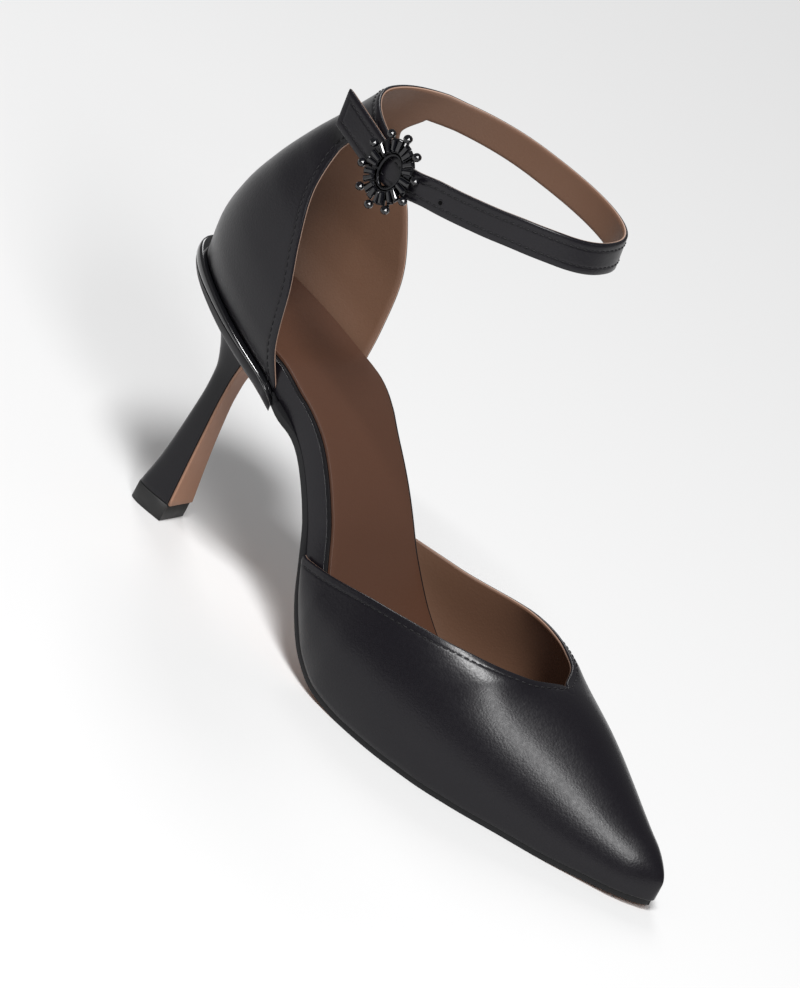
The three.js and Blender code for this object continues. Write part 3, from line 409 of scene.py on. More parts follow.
def make_seam_group():
    """The pressed line under a row of stitches, from the edge distance."""
    group, start, end = group_of(
        "stitched edge",
        [("Edge distance", 20), ("Stitch line", 2), ("Width", 0.5), ("Depth", 0.2)],
        [("Height", "NodeSocketFloat")],
    )
    away = math_node(group, "SUBTRACT", start.outputs["Edge distance"], start.outputs["Stitch line"])
    share = math_node(group, "DIVIDE", away, start.outputs["Width"])
    squared = math_node(group, "MULTIPLY", share, share)
    bell = math_node(group, "POWER", math.e, math_node(group, "MULTIPLY", squared, -1))
    depth = math_node(group, "MULTIPLY", start.outputs["Depth"], -1)
    group.links.new(math_node(group, "MULTIPLY", bell, depth), end.inputs["Height"])
    return group


GRAIN = make_grain_group()
SEAM_LINE = make_seam_group()


def grained(name, base, roughness, pebbles, depth, bump, unevenness=0.05, edge_name=None, specular=0.5):
    """Leather: its colour, grain and, with an edge attribute, the pressed stitch line."""
    material, tree, shader = tree_of(name, base, roughness, 0.0, specular)
    grain = tree.nodes.new("ShaderNodeGroup")
    grain.node_tree = GRAIN
    grain.inputs["Pebbles per metre"].default_value = pebbles
    grain.inputs["Depth"].default_value = depth
    grain.inputs["Roughness"].default_value = roughness
    grain.inputs["Unevenness"].default_value = unevenness
    height = grain.outputs["Height"]
    if edge_name:
        distance = tree.nodes.new("ShaderNodeAttribute")
        distance.attribute_name = edge_name
        seam = tree.nodes.new("ShaderNodeGroup")
        seam.node_tree = SEAM_LINE
        seam.inputs["Stitch line"].default_value = STITCH_INSET
        seam.inputs["Width"].default_value = GROOVE_WIDTH
        seam.inputs["Depth"].default_value = GROOVE_DEPTH
        tree.links.new(distance.outputs["Fac"], seam.inputs["Edge distance"])
        height = math_node(tree, "ADD", height, seam.outputs["Height"])
    relief = tree.nodes.new("ShaderNodeBump")
    relief.inputs["Strength"].default_value = bump
    relief.inputs["Distance"].default_value = RELIEF_DISTANCE
    tree.links.new(height, relief.inputs["Height"])
    tree.links.new(relief.outputs["Normal"], shader.inputs["Normal"])
    tree.links.new(grain.outputs["Gloss"], shader.inputs["Roughness"])
    return material


black_leather = grained("black leather", (0.0055, 0.0047, 0.007), 0.31, 1500, 0.16, 0.5,
                        edge_name="edge distance", specular=0.34)
lining_leather = grained("tan lining", (0.135, 0.068, 0.04), 0.55, 1300, 0.15, 0.5)
edge_paint = tree_of("pale cut edge", (0.36, 0.23, 0.17), 0.6)[0]
sock_leather = grained("brown sock leather", (0.075, 0.032, 0.018), 0.42, 1300, 0.15, 0.5)
dark_binding = tree_of("glossy dark binding", (0.006, 0.006, 0.007), 0.2)[0]
sole_leather = grained("nude brown sole leather", (0.31, 0.165, 0.105), 0.55, 700, 0.12, 0.4, 0.12)
sole_edge = grained("black sole edge", (0.007, 0.007, 0.008), 0.38, 700, 0.1, 0.4, specular=0.3)
heel_leather = grained("black heel cover", (0.006, 0.0055, 0.0075), 0.32, 1500, 0.1, 0.4, specular=0.3)
plate_gloss, _, plate_shader = tree_of("black mirror plate", (0.006, 0.006, 0.007), 0.16)
plate_shader.inputs["Coat Weight"].default_value = 0.6
plate_shader.inputs["Coat Roughness"].default_value = 0.09
heel_rubber = grained("black heel rubber", (0.013, 0.013, 0.013), 0.6, 500, 0.2, 0.3)
thread = tree_of("black thread", (0.008, 0.0075, 0.009), 0.6, specular=0.3)[0]
brooch_metal = tree_of("dark nickel", (0.03, 0.03, 0.032), 0.25, 1.0)[0]
brooch_stone = tree_of("black stone", (0.003, 0.003, 0.0045), 0.03, specular=0.6)[0]
# Painted shade: a near-black, matte disc that fills the punched hole in place of its shadowed depth.
painted_hole_shade = tree_of("painted shade of punched hole", (0.0015, 0.0015, 0.0015), 0.9, specular=0.1)[0]

# Depth in shares of the wall, swell past the edge in millimetres, and finish: 0 leather, 1 lining,
# 2 cut edge.
ROLLED_EDGE = [
    (0.08, 0.22, 0), (0.26, 0.4, 0), (0.42, 0.45, 0), (0.5, 0.42, 0), (0.74, 0.38, 2), (1.0, 0.0, 1),
]


# Vamp

# Top edge: x in shares of SHOE_LENGTH, then lateral y and z and medial y and z, in shares of
# BALL_WIDTH from the heel's axis and of THROAT_RISE.
TOPLINE = [
    (0.375, 0.3, 0.7, 0.272, 0.925), (0.46, 0.38, 0.783, 0.34, 0.93),
    (0.5625, 0.43, 0.92, 0.39, 0.985), (0.62, 0.4, 0.975, 0.365, 1.025),
    (0.675, 0.32, 1.005, 0.3, 1.045), (0.715, 0.215, 1.01, 0.215, 1.035),
    (0.742, 0.09, 1, 0.12, 1.01), (0.757, -0.03, 1, 0.03, 1),
]
RIDGE = [
    (0.757, 1), (0.79, 0.94), (0.82, 0.87), (0.85, 0.78), (0.886, 0.67), (0.92, 0.565),
    (0.954, 0.47), (1, 0.37),
]
# Cross section: x, belly in shares of BALL_WIDTH, shoulder and drop in shares of its width and height.
FORM = [
    (0.375, 0.015, 0.5, 0.4), (0.5, 0.05, 0.62, 0.38), (0.58, 0.06, 0.62, 0.28),
    (0.675, 0.055, 0.6, 0.13), (0.715, 0.052, 0.645, 0.06), (0.735, 0.05, 0.71, 0.03),
    (0.757, 0.048, 0.72, 0), (0.78, 0.045, 0.66, 0), (0.81, 0.04, 0.61, 0),
    (0.88, 0.03, 0.585, 0), (1, 0.015, 0.6, 0),
]
BELLY_HEIGHT = 0.42
VAMP_LIFT = OUTSOLE_THICKNESS + SEAM
WING_START = {LATERAL: 97.6, MEDIAL: 94.0}
WING_START_HEIGHT = 1.4
THROAT_CORNER = 9.0
EVENED_LENGTH = 22.0
EVENED_ROUNDS = 50
FULL_SWELL_HEIGHT = 20.0
ridge_rise = through(RIDGE, 1)
belly = through(FORM, 1)
shoulder = through(FORM, 2)
drop = through(FORM, 3)
top_y = {LATERAL: through(TOPLINE, 1), MEDIAL: through(TOPLINE, 3)}
top_z = {LATERAL: through(TOPLINE, 2), MEDIAL: through(TOPLINE, 4)}


def vamp_top(x, side, foot):
    share = x / SHOE_LENGTH
    if x >= THROAT_REACH:
        rise = THROAT_RISE * ridge_rise(share) - foot.z
        return Vector((x, middle_y(x), foot.z + rise * (0.5 + 0.5 * nose_share(x))))
    height = max(THROAT_RISE * top_z[side](share), foot.z + WING_START_HEIGHT)
    across = side * BALL_WIDTH * top_y[side](share)
    settle = smooth_step(x, THROAT_REACH - THROAT_CORNER, THROAT_REACH)
    return Vector((foot.x, mix(across, middle_y(THROAT_REACH), settle * settle), height))


def vamp_section(x, side, shares):
    share = x / SHOE_LENGTH
    foot = over_bed(x, edge_y(x, side), VAMP_LIFT)
    top = vamp_top(x, side, foot)
    height = top.z - foot.z
    swell = BALL_WIDTH * belly(share) * nose_share(x) * min(height / FULL_SWELL_HEIGHT, 1)
    low = Vector((foot.x, foot.y + side * swell, foot.z + BELLY_HEIGHT * height))
    bend_y = mix(top.y, foot.y + side * swell * 0.5, shoulder(share))
    bend = Vector((top.x, bend_y, top.z - drop(share) * height))
    row = []
    for t in shares:
        s = 1 - t
        row.append(foot * s**3 + low * 3 * s * s * t + bend * 3 * s * t * t + top * t**3)
    return row


def edge_stations(start, end, count, tail):
    """Even stations that close up towards the end within the tail."""
    even = [mix(start, end - tail, t) for t in steps(count)]
    return even[:-1] + [mix(end - tail, end, math.sin(t * math.pi / 2)) for t in steps(14)]


# Soft creases of the vamp: side, x, height share, turn in degrees, half length, half width and depth.
VAMP_CREASES = [
    (LATERAL, 150, 0.72, 62, 10, 3.0, 0.08),
    (LATERAL, 160, 0.62, 70, 11, 3.2, 0.07),
    (LATERAL, 168, 0.78, 55, 8, 3.0, -0.05),
    (LATERAL, 134, 0.72, 80, 9, 3.4, 0.07),
    (MEDIAL, 152, 0.75, 60, 9, 3.0, 0.08),
    (MEDIAL, 163, 0.66, 66, 10, 3.2, -0.05),
    (MEDIAL, 138, 0.7, 78, 9, 3.2, 0.07),
]
CREASE_LEAST_HEIGHT = 10
CREASE_STRETCH = 1.4


def crease_depth(x, side, share, height):
    """How far the leather dips at a place on the vamp, in millimetres."""
    depth = 0.0
    for of_side, at, level, turn, half_length, half_width, amount in VAMP_CREASES:
        if of_side != side:
            continue
        dx = x - at
        dh = (share - level) * max(height, CREASE_LEAST_HEIGHT) * CREASE_STRETCH
        angle = math.radians(turn)
        along = dx * math.cos(angle) + dh * math.sin(angle)
        across = -dx * math.sin(angle) + dh * math.cos(angle)
        depth += amount * math.exp(-((along / half_length) ** 2) - (across / half_width) ** 2)
    return depth


# Shares up a section, closer together under the top edge.
VAMP_SHARES = [1 - (1 - t) ** 1.35 for t in steps(40)]


def mark_edge_distance(skin, border):
    """Stores each point's distance from the nearest cut edge, up to EDGE_BAND."""
    cells = {}
    for a, b in border:
        key = tuple(int(math.floor(v / EDGE_BAND)) for v in (a + b) / 2)
        cells.setdefault(key, []).append((a, b))
    for i, point in enumerate(skin.points):
        home = [int(math.floor(v / EDGE_BAND)) for v in point]
        best = EDGE_BAND
        for dx in (-1, 0, 1):
            for dy in (-1, 0, 1):
                for dz in (-1, 0, 1):
                    for a, b in cells.get((home[0] + dx, home[1] + dy, home[2] + dz), ()):
                        run = b - a
                        share = clamp((point - a).dot(run) / max(run.length_squared, 1e-9))
                        best = min(best, (point - a - run * share).length)
        skin.edge[i] = best


def evened(stations, rows):
    """Sections evened out along the shoe around the throat, except their top edges and feet."""
    for _ in range(EVENED_ROUNDS):
        before = [list(row) for row in rows]
        for i in range(1, len(rows) - 1):
            near = math.exp(-((stations[i] - THROAT_REACH) / EVENED_LENGTH) ** 4)
            gap = (stations[i] - stations[i - 1]) / (stations[i + 1] - stations[i - 1])
            for j in range(1, len(rows[i]) - 1):
                share = VAMP_SHARES[j]
                free = near * min(share / 0.15, 1) * min((1 - share) / 0.4, 1) ** 2
                between = before[i - 1][j].lerp(before[i + 1][j], gap)
                rows[i][j] = before[i][j].lerp(between, 0.8 * free)
    return rows


def make_vamp():
    skin = Skin()
    front = edge_stations(THROAT_REACH, SHOE_LENGTH, 34, 7)
    foot_ids = set()
    moves = {}
    border = []
    for side in (LATERAL, MEDIAL):
        back = [mix(WING_START[side], THROAT_REACH, t) for t in steps(70)]
        stations = back[:-1] + front
        rows = evened(stations, [vamp_section(x, side, VAMP_SHARES) for x in stations])
        ids = skin.sheet(rows, flipped=side == MEDIAL)
        tops = [row[-1] for x, row in zip(stations, rows) if x <= THROAT_REACH]
        border += zip(tops, tops[1:])
        for x, row, of_row in zip(stations, rows, ids):
            foot_ids.add(of_row[0])
            height = row[-1].z - row[0].z
            for j, share in enumerate(VAMP_SHARES):
                moves[of_row[j]] = crease_depth(x, side, share, height)
    normals = skin.normals()
    inward = -1 if skin_points_out(skin, normals) else 1
    for i, depth in moves.items():
        skin.points[i] += normals[i] * depth * inward
    mark_edge_distance(skin, border)
    outer = outer_lookup(skin)
    skin.walled(UPPER_WALL, ROLLED_EDGE, 1, foot_ids)
    return skin, outer


def outer_lookup(skin):
    """Finds the nearest place on a skin that has no wall yet, with its outward direction."""
    outward = skin_points_out(skin, skin.normals())
    faces = skin.faces if outward else [face[::-1] for face in skin.faces]
    return BVHTree.FromPolygons(skin.points, faces)


def skin_points_out(skin, normals):
    """True if most normals lead away from the middle of the skin."""
    middle = sum(skin.points, Vector()) / len(skin.points)
    return sum((p - middle).dot(n) for p, n in zip(skin.points, normals)) > 0


vamp_skin, vamp_surface = make_vamp()
vamp = shown("vamp_leather", vamp_skin, [black_leather, lining_leather, edge_paint],
             edge_name="edge distance")
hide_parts("vamp")
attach(vamp, "root")


# Counter and strap, cut in one

# Levels from the foot up: level, back x in shares of SEAT_LENGTH, rise in shares of the way from the
# foot to COLLAR_RISE, x of the widest place, half width in shares of SEAT_WIDTH.
COUNTER_CUP = [
    (0, 0.072, 0, 0.79, 0.47), (0.15, 0.062, 0.171, 0.75, 0.57), (0.32, 0.1, 0.34, 0.8, 0.625),
    (0.52, 0.184, 0.509, 0.89, 0.627), (0.72, 0.298, 0.678, 1.05, 0.618),
    (0.87, 0.395, 0.8, 1.2, 0.618), (1, 0.46, 0.881, 1.31, 0.622),
]
# Where each level ends in front: level, lateral x and rise, medial x and rise.
COUNTER_EDGE = [
    (0, 0.953, 0, 1.0, 0), (0.15, 0.866, 0.146, 0.962, 0.163), (0.32, 0.82, 0.313, 0.895, 0.348),
    (0.52, 0.715, 0.493, 0.745, 0.533), (0.72, 0.612, 0.678, 0.582, 0.695),
    (0.87, 0.6, 0.786, 0.548, 0.797), (1, 0.664, 0.875, 0.64, 0.894),
]
COUNTER_ROUNDNESS = 2.3
cup = [through(COUNTER_CUP, column) for column in (1, 2, 3, 4)]
rim = [through(COUNTER_EDGE, column) for column in (1, 2, 3, 4)]


def loop_of(back_x, back_z, wide_x, half, lateral=None, medial=None):
    return {"back_x": back_x, "back_z": back_z, "wide_x": wide_x, "half": half,
            LATERAL: lateral, MEDIAL: medial}


def turn_at(loop, x):
    into = clamp((loop["wide_x"] - x) / (loop["wide_x"] - loop["back_x"]), -1, 1)
    return math.acos(math.copysign(abs(into) ** (COUNTER_ROUNDNESS / 2), into))


def on_loop(loop, turn, side):
    cosine = math.cos(turn)
    reach = loop["wide_x"] - loop["back_x"]
    x = loop["wide_x"] - reach * math.copysign(abs(cosine) ** (2 / COUNTER_ROUNDNESS), cosine)
    return x, side * loop["half"] * max(math.sin(turn), 0) ** (2 / COUNTER_ROUNDNESS)


def level_row(loop, count, height_at=None):
    row = []
    for t in steps(count):
        side = LATERAL if t < 0.5 else MEDIAL
        front_x, front_z = loop[side]
        x, y = on_loop(loop, turn_at(loop, front_x) * abs(2 * t - 1), side)
        share = (x - loop["back_x"]) / (front_x - loop["back_x"])
        z = height_at(x, y) if height_at else mix(loop["back_z"], front_z, share)
        row.append(Vector((x, y, z)))
    return row


def plate_top(x, y):
    return bed_height(x, y, plate_lift(x) + SEAM)


def counter_plan(level):
    return SEAT_LENGTH * cup[0](level), SEAT_LENGTH * cup[2](level), SEAT_WIDTH * cup[3](level)


def corner_foot(side, x):
    back_x, wide_x, half = counter_plan(0)
    loop = loop_of(back_x, 0, wide_x, half)
    return plate_top(x, on_loop(loop, turn_at(loop, x), side)[1])


WAIST_START = SEAT_LENGTH + 1.2
plate_lift = through(
    [(0, PLATE_THICKNESS), (SEAT_LENGTH, PLATE_TIP_THICKNESS), (WAIST_START + 7, OUTSOLE_THICKNESS)], 1
)
FOOT_BACK = plate_top(counter_plan(0)[0], 0)
FOOT_LATERAL = corner_foot(LATERAL, SEAT_LENGTH * rim[0](0))
FOOT_MEDIAL = corner_foot(MEDIAL, SEAT_LENGTH * rim[2](0))


def counter_level(level):
    back_x, wide_x, half = counter_plan(level)
    return loop_of(
        back_x, mix(FOOT_BACK, COLLAR_RISE, cup[1](level)), wide_x, half,
        (SEAT_LENGTH * rim[0](level), mix(FOOT_LATERAL, COLLAR_RISE, rim[1](level))),
        (SEAT_LENGTH * rim[2](level), mix(FOOT_MEDIAL, COLLAR_RISE, rim[3](level))),
    )


COLLAR_BACK = 0.46 * SEAT_LENGTH
ANKLE_FRONT = COLLAR_BACK + ANKLE_LENGTH
LEG_LEAN = 5.2
FRONT_LEAN = 1.6
FRONT_EASE = 7.0
STRAP_START = 45.6
TAB_END = 58.0
TAB_COLUMNS = 14
TAB_TIP = (0.9, 0.96)
# Turn in degrees from the back, middle z in shares of COLLAR_RISE, step off the loop in walls.
STRAP_TABLE = [
    (52, 0.977, 0), (90, 0.988, 0), (180, 0.992, 0), (215, 0.989, 0), (235, 0.981, 0),
    (252, 0.967, 0.1), (268, 0.952, 0.8), (284, 0.933, 1.22), (306, 0.937, 1.25),
]
strap_z = through(STRAP_TABLE, 1)
strap_out = through(STRAP_TABLE, 2)
TAIL_LENGTH = 20.0
TAIL_CUT = 7.0
TAIL_RISE = 3.0
TAIL_FLARE = 0.1


def ankle_loop(edge):
    back = COLLAR_BACK + LEG_LEAN * edge
    front = ANKLE_FRONT + FRONT_EASE - FRONT_LEAN * edge
    return loop_of(back, COLLAR_RISE, (back + front) / 2, ANKLE_WIDTH / 2,
                   (0.7 * SEAT_LENGTH, 0.985 * COLLAR_RISE), (0.7 * SEAT_LENGTH, 1.006 * COLLAR_RISE))


def strap_edge(edge, share):
    return COLLAR_RISE * share + STRAP_WIDTH * (edge - 0.5)


def on_strap(turn, edge):
    """A point on the strap's outer face: turn in degrees, edge 0 below and 1 above."""
    loop = ankle_loop(edge)
    side = MEDIAL if turn <= 180 else LATERAL
    seam = math.degrees(turn_at(loop, STRAP_START))

    def at(degrees):
        squared = degrees
        if degrees < 90:
            squared = mix(90, seam, (90 - degrees) / (90 - STRAP_TABLE[0][0]))
        angle = math.radians(squared if squared <= 180 else 360 - squared)
        return Vector((*on_loop(loop, angle, side), 0))

    along = (at(turn + 0.5) - at(turn - 0.5)).normalized()
    point = at(turn)
    out = strap_out(turn) * UPPER_WALL
    return Vector((point.x - along.y * out, point.y + along.x * out, strap_edge(edge, strap_z(turn))))


COUNTER_COLUMNS = 84
COUNTER_ROWS = 58
BAND_SHARES = [0, 0.09, 0.18, 0.28, 0.4, 0.5, 0.6, 0.72, 0.82, 0.91, 1]


def reached(edge, start, side, end, end_z, count):
    """Points along the ankle loop from a counter corner on to an end."""
    loop = ankle_loop(edge)
    at_start = on_loop(loop, turn_at(loop, start.x), side)[1]
    row = []
    for t in steps(count)[1:]:
        x = mix(start.x, end, t)
        y = on_loop(loop, turn_at(loop, x), side)[1] + (start.y - at_start) * (1 - t)
        row.append(Vector((x, y, mix(start.z, end_z, t))))
    return row


def strap_tail(row, length):
    end = row[-1]
    along = (end - row[-2]) * Vector((1, 1, 0))
    along.normalize()
    along += Vector((-along.y * TAIL_FLARE, along.x * TAIL_FLARE, TAIL_RISE / TAIL_LENGTH))
    return [end + along * length * t for t in steps(18)[1:]]


def band_edges():
    """The lower and upper edge of the band: lateral tab, back of the collar, strap and tail."""
    low = level_row(counter_level(1), COUNTER_COLUMNS)
    high = level_row(ankle_loop(1), COUNTER_COLUMNS)
    tab_low = reached(0, low[0], LATERAL, TAB_END, COLLAR_RISE * TAB_TIP[0], TAB_COLUMNS)
    tab_high = reached(1, high[0], LATERAL, TAB_END, COLLAR_RISE * TAB_TIP[1], TAB_COLUMNS)
    first = STRAP_TABLE[0][0]
    last = STRAP_TABLE[-1][0]
    root_low = reached(0, low[-1], MEDIAL, STRAP_START, strap_edge(0, STRAP_TABLE[0][1]), 4)
    root_high = reached(1, high[-1], MEDIAL, STRAP_START, strap_edge(1, STRAP_TABLE[0][1]), 4)
    turns = [mix(first, last, t) for t in steps(190)][1:]
    strap_low = [on_strap(turn, 0) for turn in turns]
    strap_high = [on_strap(turn, 1) for turn in turns]
    strap_low += strap_tail(strap_low, TAIL_LENGTH - TAIL_CUT)
    strap_high += strap_tail(strap_high, TAIL_LENGTH)
    return (
        tab_low[::-1] + low + root_low + strap_low,
        tab_high[::-1] + high + root_high + strap_high,
    )


def make_counter_and_strap():
    skin = Skin()
    rows = []
    for t in steps(COUNTER_ROWS):
        rows.append(level_row(counter_level(t), COUNTER_COLUMNS, plate_top if t == 0 else None))
    ids = skin.sheet(rows)
    low, high = band_edges()
    band = [[a.lerp(b, t) for a, b in zip(low, high)] for t in BAND_SHARES]
    skin.sheet(band)
    foot_ids = set(ids[0])
    border_points = border_of(skin, foot_ids)
    mark_edge_distance(skin, border_points)
    outer = outer_lookup(skin)
    skin.walled(UPPER_WALL, ROLLED_EDGE, 1, foot_ids)
    return skin, outer


def border_of(skin, leave_out):
    directed = {(a, b) for face in skin.faces for a, b in zip(face, face[1:] + face[:1])}
    border = [(a, b) for a, b in directed if (b, a) not in directed]
    return [(skin.points[a], skin.points[b]) for a, b in border if not (a in leave_out and b in leave_out)]


counter_skin, counter_surface = make_counter_and_strap()
counter = shown("counter_and_strap", counter_skin, [black_leather, lining_leather, edge_paint],
                edge_name="edge distance")
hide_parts("counter", "ankle_strap")
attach(counter, "root")


# Layers under the foot

# Half width of the tongue, which fills the plate's mouth.
TONGUE = [(51.4, 16.3), (53.4, 19.1), (55.4, 20.75), (57.2, 21.8), (58, 22.1)]
SQUARING_LENGTH = 16.0
VAMP_INSET = UPPER_WALL + SEAM
FOREPART_START = 0.47 * SHOE_LENGTH
WIDENING_START = 0.355 * SHOE_LENGTH
WAIST_INSET = 0.8
BALL_REACH = 0.63 * SHOE_LENGTH
TIP_INSET = 0.6
BOARD = [(0.02, 0.5), (0.2, 0.75), (0.26, 1), (0.43, 1), (0.6, 0.5), (1, 0.4)]
SLANT_ROOM = 1.3
CORNER_ROOM = 0.7
TOP_LEVEL = 0.07
SEAT_END_INSET = -1.0
SEAT_END_RUN = 20.0
WALL_SLANT = 0.4
board_share = through(BOARD, 1)


def slab(lower, upper, finish_below=0, finish_above=0):
    """Fills the room between two sheets with the same rows of points."""
    skin = Skin()
    skin.sheet(lower, True, finish_below)
    skin.sheet(upper, False, finish_above)
    skin.sheet([lower[0], upper[0]])
    skin.sheet([lower[-1], upper[-1]], True)
    skin.sheet([[row[0] for row in lower], [row[0] for row in upper]], True)
    skin.sheet([[row[-1] for row in lower], [row[-1] for row in upper]])
    return skin


def outsole_inset(x):
    """Flush with the heel where it leaves the plate, then inside the vamp, then wider at the forepart."""
    behind = mix(SEAT_END_INSET, VAMP_INSET, smooth_step(x, SEAT_LENGTH, SEAT_LENGTH + SEAT_END_RUN))
    return mix(behind, WAIST_INSET, smooth_step(x, WIDENING_START, FOREPART_START))


def sole_rows(stations, lift, count):
    rows = []
    for x in stations:
        inset = outsole_inset(x)
        square = 1 - smooth_step(x, WAIST_START, WAIST_START + SQUARING_LENGTH)
        row = []
        for t in steps(count):
            y = mix(edge_y(x, LATERAL, inset), edge_y(x, MEDIAL, inset), t)
            station = mix(x, station_at(x, y, lift(x)), square)
            row.append(over_bed(station, y, lift(station)))
        rows.append(row)
    return rows


def make_outsole():
    tongue = [mix(TONGUE[0][0], SEAT_LENGTH, t) for t in steps(8)]
    half = through(TONGUE, 1)
    waist = [mix(SEAT_LENGTH + SEAM / 2, BALL_REACH, t) for t in steps(40)]
    waist += edge_stations(BALL_REACH + 2, SHOE_LENGTH - TIP_INSET, 34, 8)

    def rows(lift):
        made = []
        for x in tongue:
            ys = [half(x) * mix(-1, 1, t) for t in steps(20)]
            made.append([Vector((x, y, bed_height(x, y, lift(x)))) for y in ys])
        return made + sole_rows(waist, lift, 20)

    return slab(rows(lambda x: 0), rows(plate_lift), 1, 0)


def board_floor(x):
    return plate_lift(x) + 0.1


def board_top(x):
    return plate_lift(x) + 2 * SEAM + BOARD_THICKNESS * board_share(x / SHOE_LENGTH)


def board_inset(x):
    """The board comes out to the outsole's edge just in front of the counter."""
    return mix(0.6, VAMP_INSET, smooth_step(x, SEAT_LENGTH, SEAT_LENGTH + SEAT_END_RUN))


def seat_room(x, wall_inset, side, level):
    """Half the room between the counter's walls at a level, which opens in front of the counter."""
    foot = counter_level(level)
    inset = wall_inset + WALL_SLANT
    half = foot["half"] - inset
    past = x - foot[side][0] - CORNER_ROOM
    if past > 0:
        return half + past * 2.5
    into = max((foot["wide_x"] - x) / (foot["wide_x"] - foot["back_x"] - inset), 0)
    return half * max(1 - into**COUNTER_ROUNDNESS, 0) ** (1 / COUNTER_ROUNDNESS)


def inside_rows(stations, inset, lift, count, level=TOP_LEVEL):
    rows = []
    for x in stations:
        edge = inset + board_inset(x) - VAMP_INSET if x < WIDENING_START else inset
        low = max(edge_y(x, LATERAL, edge), -seat_room(x, inset, LATERAL, level))
        high = min(edge_y(x, MEDIAL, edge), seat_room(x, inset, MEDIAL, level))
        rows.append([over_bed(x, mix(low, high, t), lift(x)) for t in steps(count)])
    return rows


def inside_stations(inset, toe_room):
    back = counter_level(0)["back_x"] + inset + SLANT_ROOM
    return (
        opening(back, 34, 16)
        + [mix(36, 200, t) for t in steps(110)]
        + closing(203, SHOE_LENGTH - VAMP_INSET - toe_room, 20)
    )


def sock_floor(x):
    return board_top(x) + 0.12


board_stations = inside_stations(VAMP_INSET, 1.5)
sock_stations = inside_stations(VAMP_INSET + SOCK_INSET, 8)
outsole = shown("outsole_leather", make_outsole(), [sole_edge, sole_leather])
bevelled(outsole, 0.5, finish=0)
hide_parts("outsole")
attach(outsole, "root")

board = shown(
    "wrapped_insole_edge",
    slab(inside_rows(board_stations, VAMP_INSET, board_floor, 14, 0),
         inside_rows(board_stations, VAMP_INSET, board_top, 14), 0, 1),
    [black_leather, dark_binding],
)
bevelled(board, 0.7, 4)
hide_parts("insole_board")
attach(board, "root")

sock = shown(
    "sock_lining_leather",
    slab(inside_rows(sock_stations, VAMP_INSET + SOCK_INSET, sock_floor, 14),
         inside_rows(sock_stations, VAMP_INSET + SOCK_INSET, lambda x: sock_floor(x) + SOCK_THICKNESS, 14)),
    [sock_leather],
)
bevelled(sock, 0.45, 3)
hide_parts("sock_lining")
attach(sock, "root")


# Heel

# Stem: z in shares of SEAT_RISE, front in shares of SEAT_LENGTH, depth and width in shares of the top
# piece's, roundness.
HEEL_STEM = [
    (0.078, 0.603, 0.96, 0.97, 4.5), (0.22, 0.584, 0.748, 0.8, 4),
    (0.4, 0.564, 0.59, 0.63, 3.2), (0.54, 0.554, 0.505, 0.56, 3),
]
# Flare: back x and drop, front x and drop, half width, middle x and drop, in shares of SEAT_LENGTH,
# SEAT_RISE and SEAT_WIDTH. The middle of the front lies deeper than its corners.
HEEL_FLARE = [
    (0.424, 0.303, 0.556, 0.294, 0.083, 0.556, 0.294), (0.383, 0.218, 0.573, 0.204, 0.103, 0.576, 0.198),
    (0.302, 0.137, 0.604, 0.131, 0.147, 0.61, 0.118), (0.207, 0.081, 0.655, 0.09, 0.235, 0.664, 0.061),
    (0.112, 0.04, 0.767, 0.073, 0.367, 0.733, 0.031), (0.038, 0.014, 0.914, 0.056, 0.456, 0.802, 0.016),
    (0.02, 0.006, 0.991, 0.034, 0.471, 0.845, 0.009),
]
SEAT_ROUNDNESS = 2.35
NECK_ROUNDNESS = 2.9
STEM_SWELL = 0.03
SEAT_SWELL = 0.1
PLATE_MOUTH = 0.862
MOUTH_CORNER = 6.0
RIM_BACK = 0.8
HEEL_COLUMNS = 56
HEEL_ROWS = 60
LID_ROWS = 8
# The plate's rounded edge from below: lift in shares of the plate's, and inset in millimetres.
PLATE_EDGE = [(0, 0.9), (0.06, 0.35), (0.22, 0), (0.5, -0.12), (0.76, 0), (0.94, 0.35), (1, 1.0)]
BREAST_MARGIN = 5
BREAST_LIFT = 1.2
BREAST_WALL = 1.0


def heel_section(row, count):
    """The back from the lateral corner round to the medial one, and the front straight across."""
    back_x, back_z, front_x, front_z, half, middle_x, middle_z, roundness, swell = row
    back, front = [], []
    for t in steps(count):
        turn = t * math.pi
        along = math.sin(turn) ** (2 / roundness) if 0 < t < 1 else 0.0
        cosine = math.cos(turn)
        across = math.copysign(abs(cosine) ** (2 / roundness), cosine)
        y = LATERAL * across * half
        widened = 1 + swell * math.sin(math.pi * along)
        back.append(Vector((mix(front_x, back_x, along), y * widened, mix(front_z, back_z, along))))
        recess = 1 - abs(across) ** MOUTH_CORNER
        front.append(Vector((mix(front_x, middle_x, recess), y, mix(front_z, middle_z, recess))))
    return back, front


def below_bed(x_share, drop_share):
    x = SEAT_LENGTH * x_share
    return x, bed_height(x, 0, 0) - SEAT_RISE * drop_share


def heel_table():
    rows = []
    for z_share, front_share, depth, width, roundness in HEEL_STEM:
        front = SEAT_LENGTH * front_share
        z = SEAT_RISE * z_share
        rows.append((front - TOP_PIECE_LENGTH * depth, z, front, z, TOP_PIECE_WIDTH * width / 2, front, z,
                     roundness, STEM_SWELL))
    for i, (back_x, back_drop, front_x, front_drop, half, middle_x, middle_drop) in enumerate(HEEL_FLARE):
        t = (i + 1) / len(HEEL_FLARE)
        rows.append((
            *below_bed(back_x, back_drop), *below_bed(front_x, front_drop), SEAT_WIDTH * half,
            *below_bed(middle_x, middle_drop), mix(NECK_ROUNDNESS, SEAT_ROUNDNESS, t), SEAT_SWELL * t,
        ))
    return [(i, *row) for i, row in enumerate(rows)]


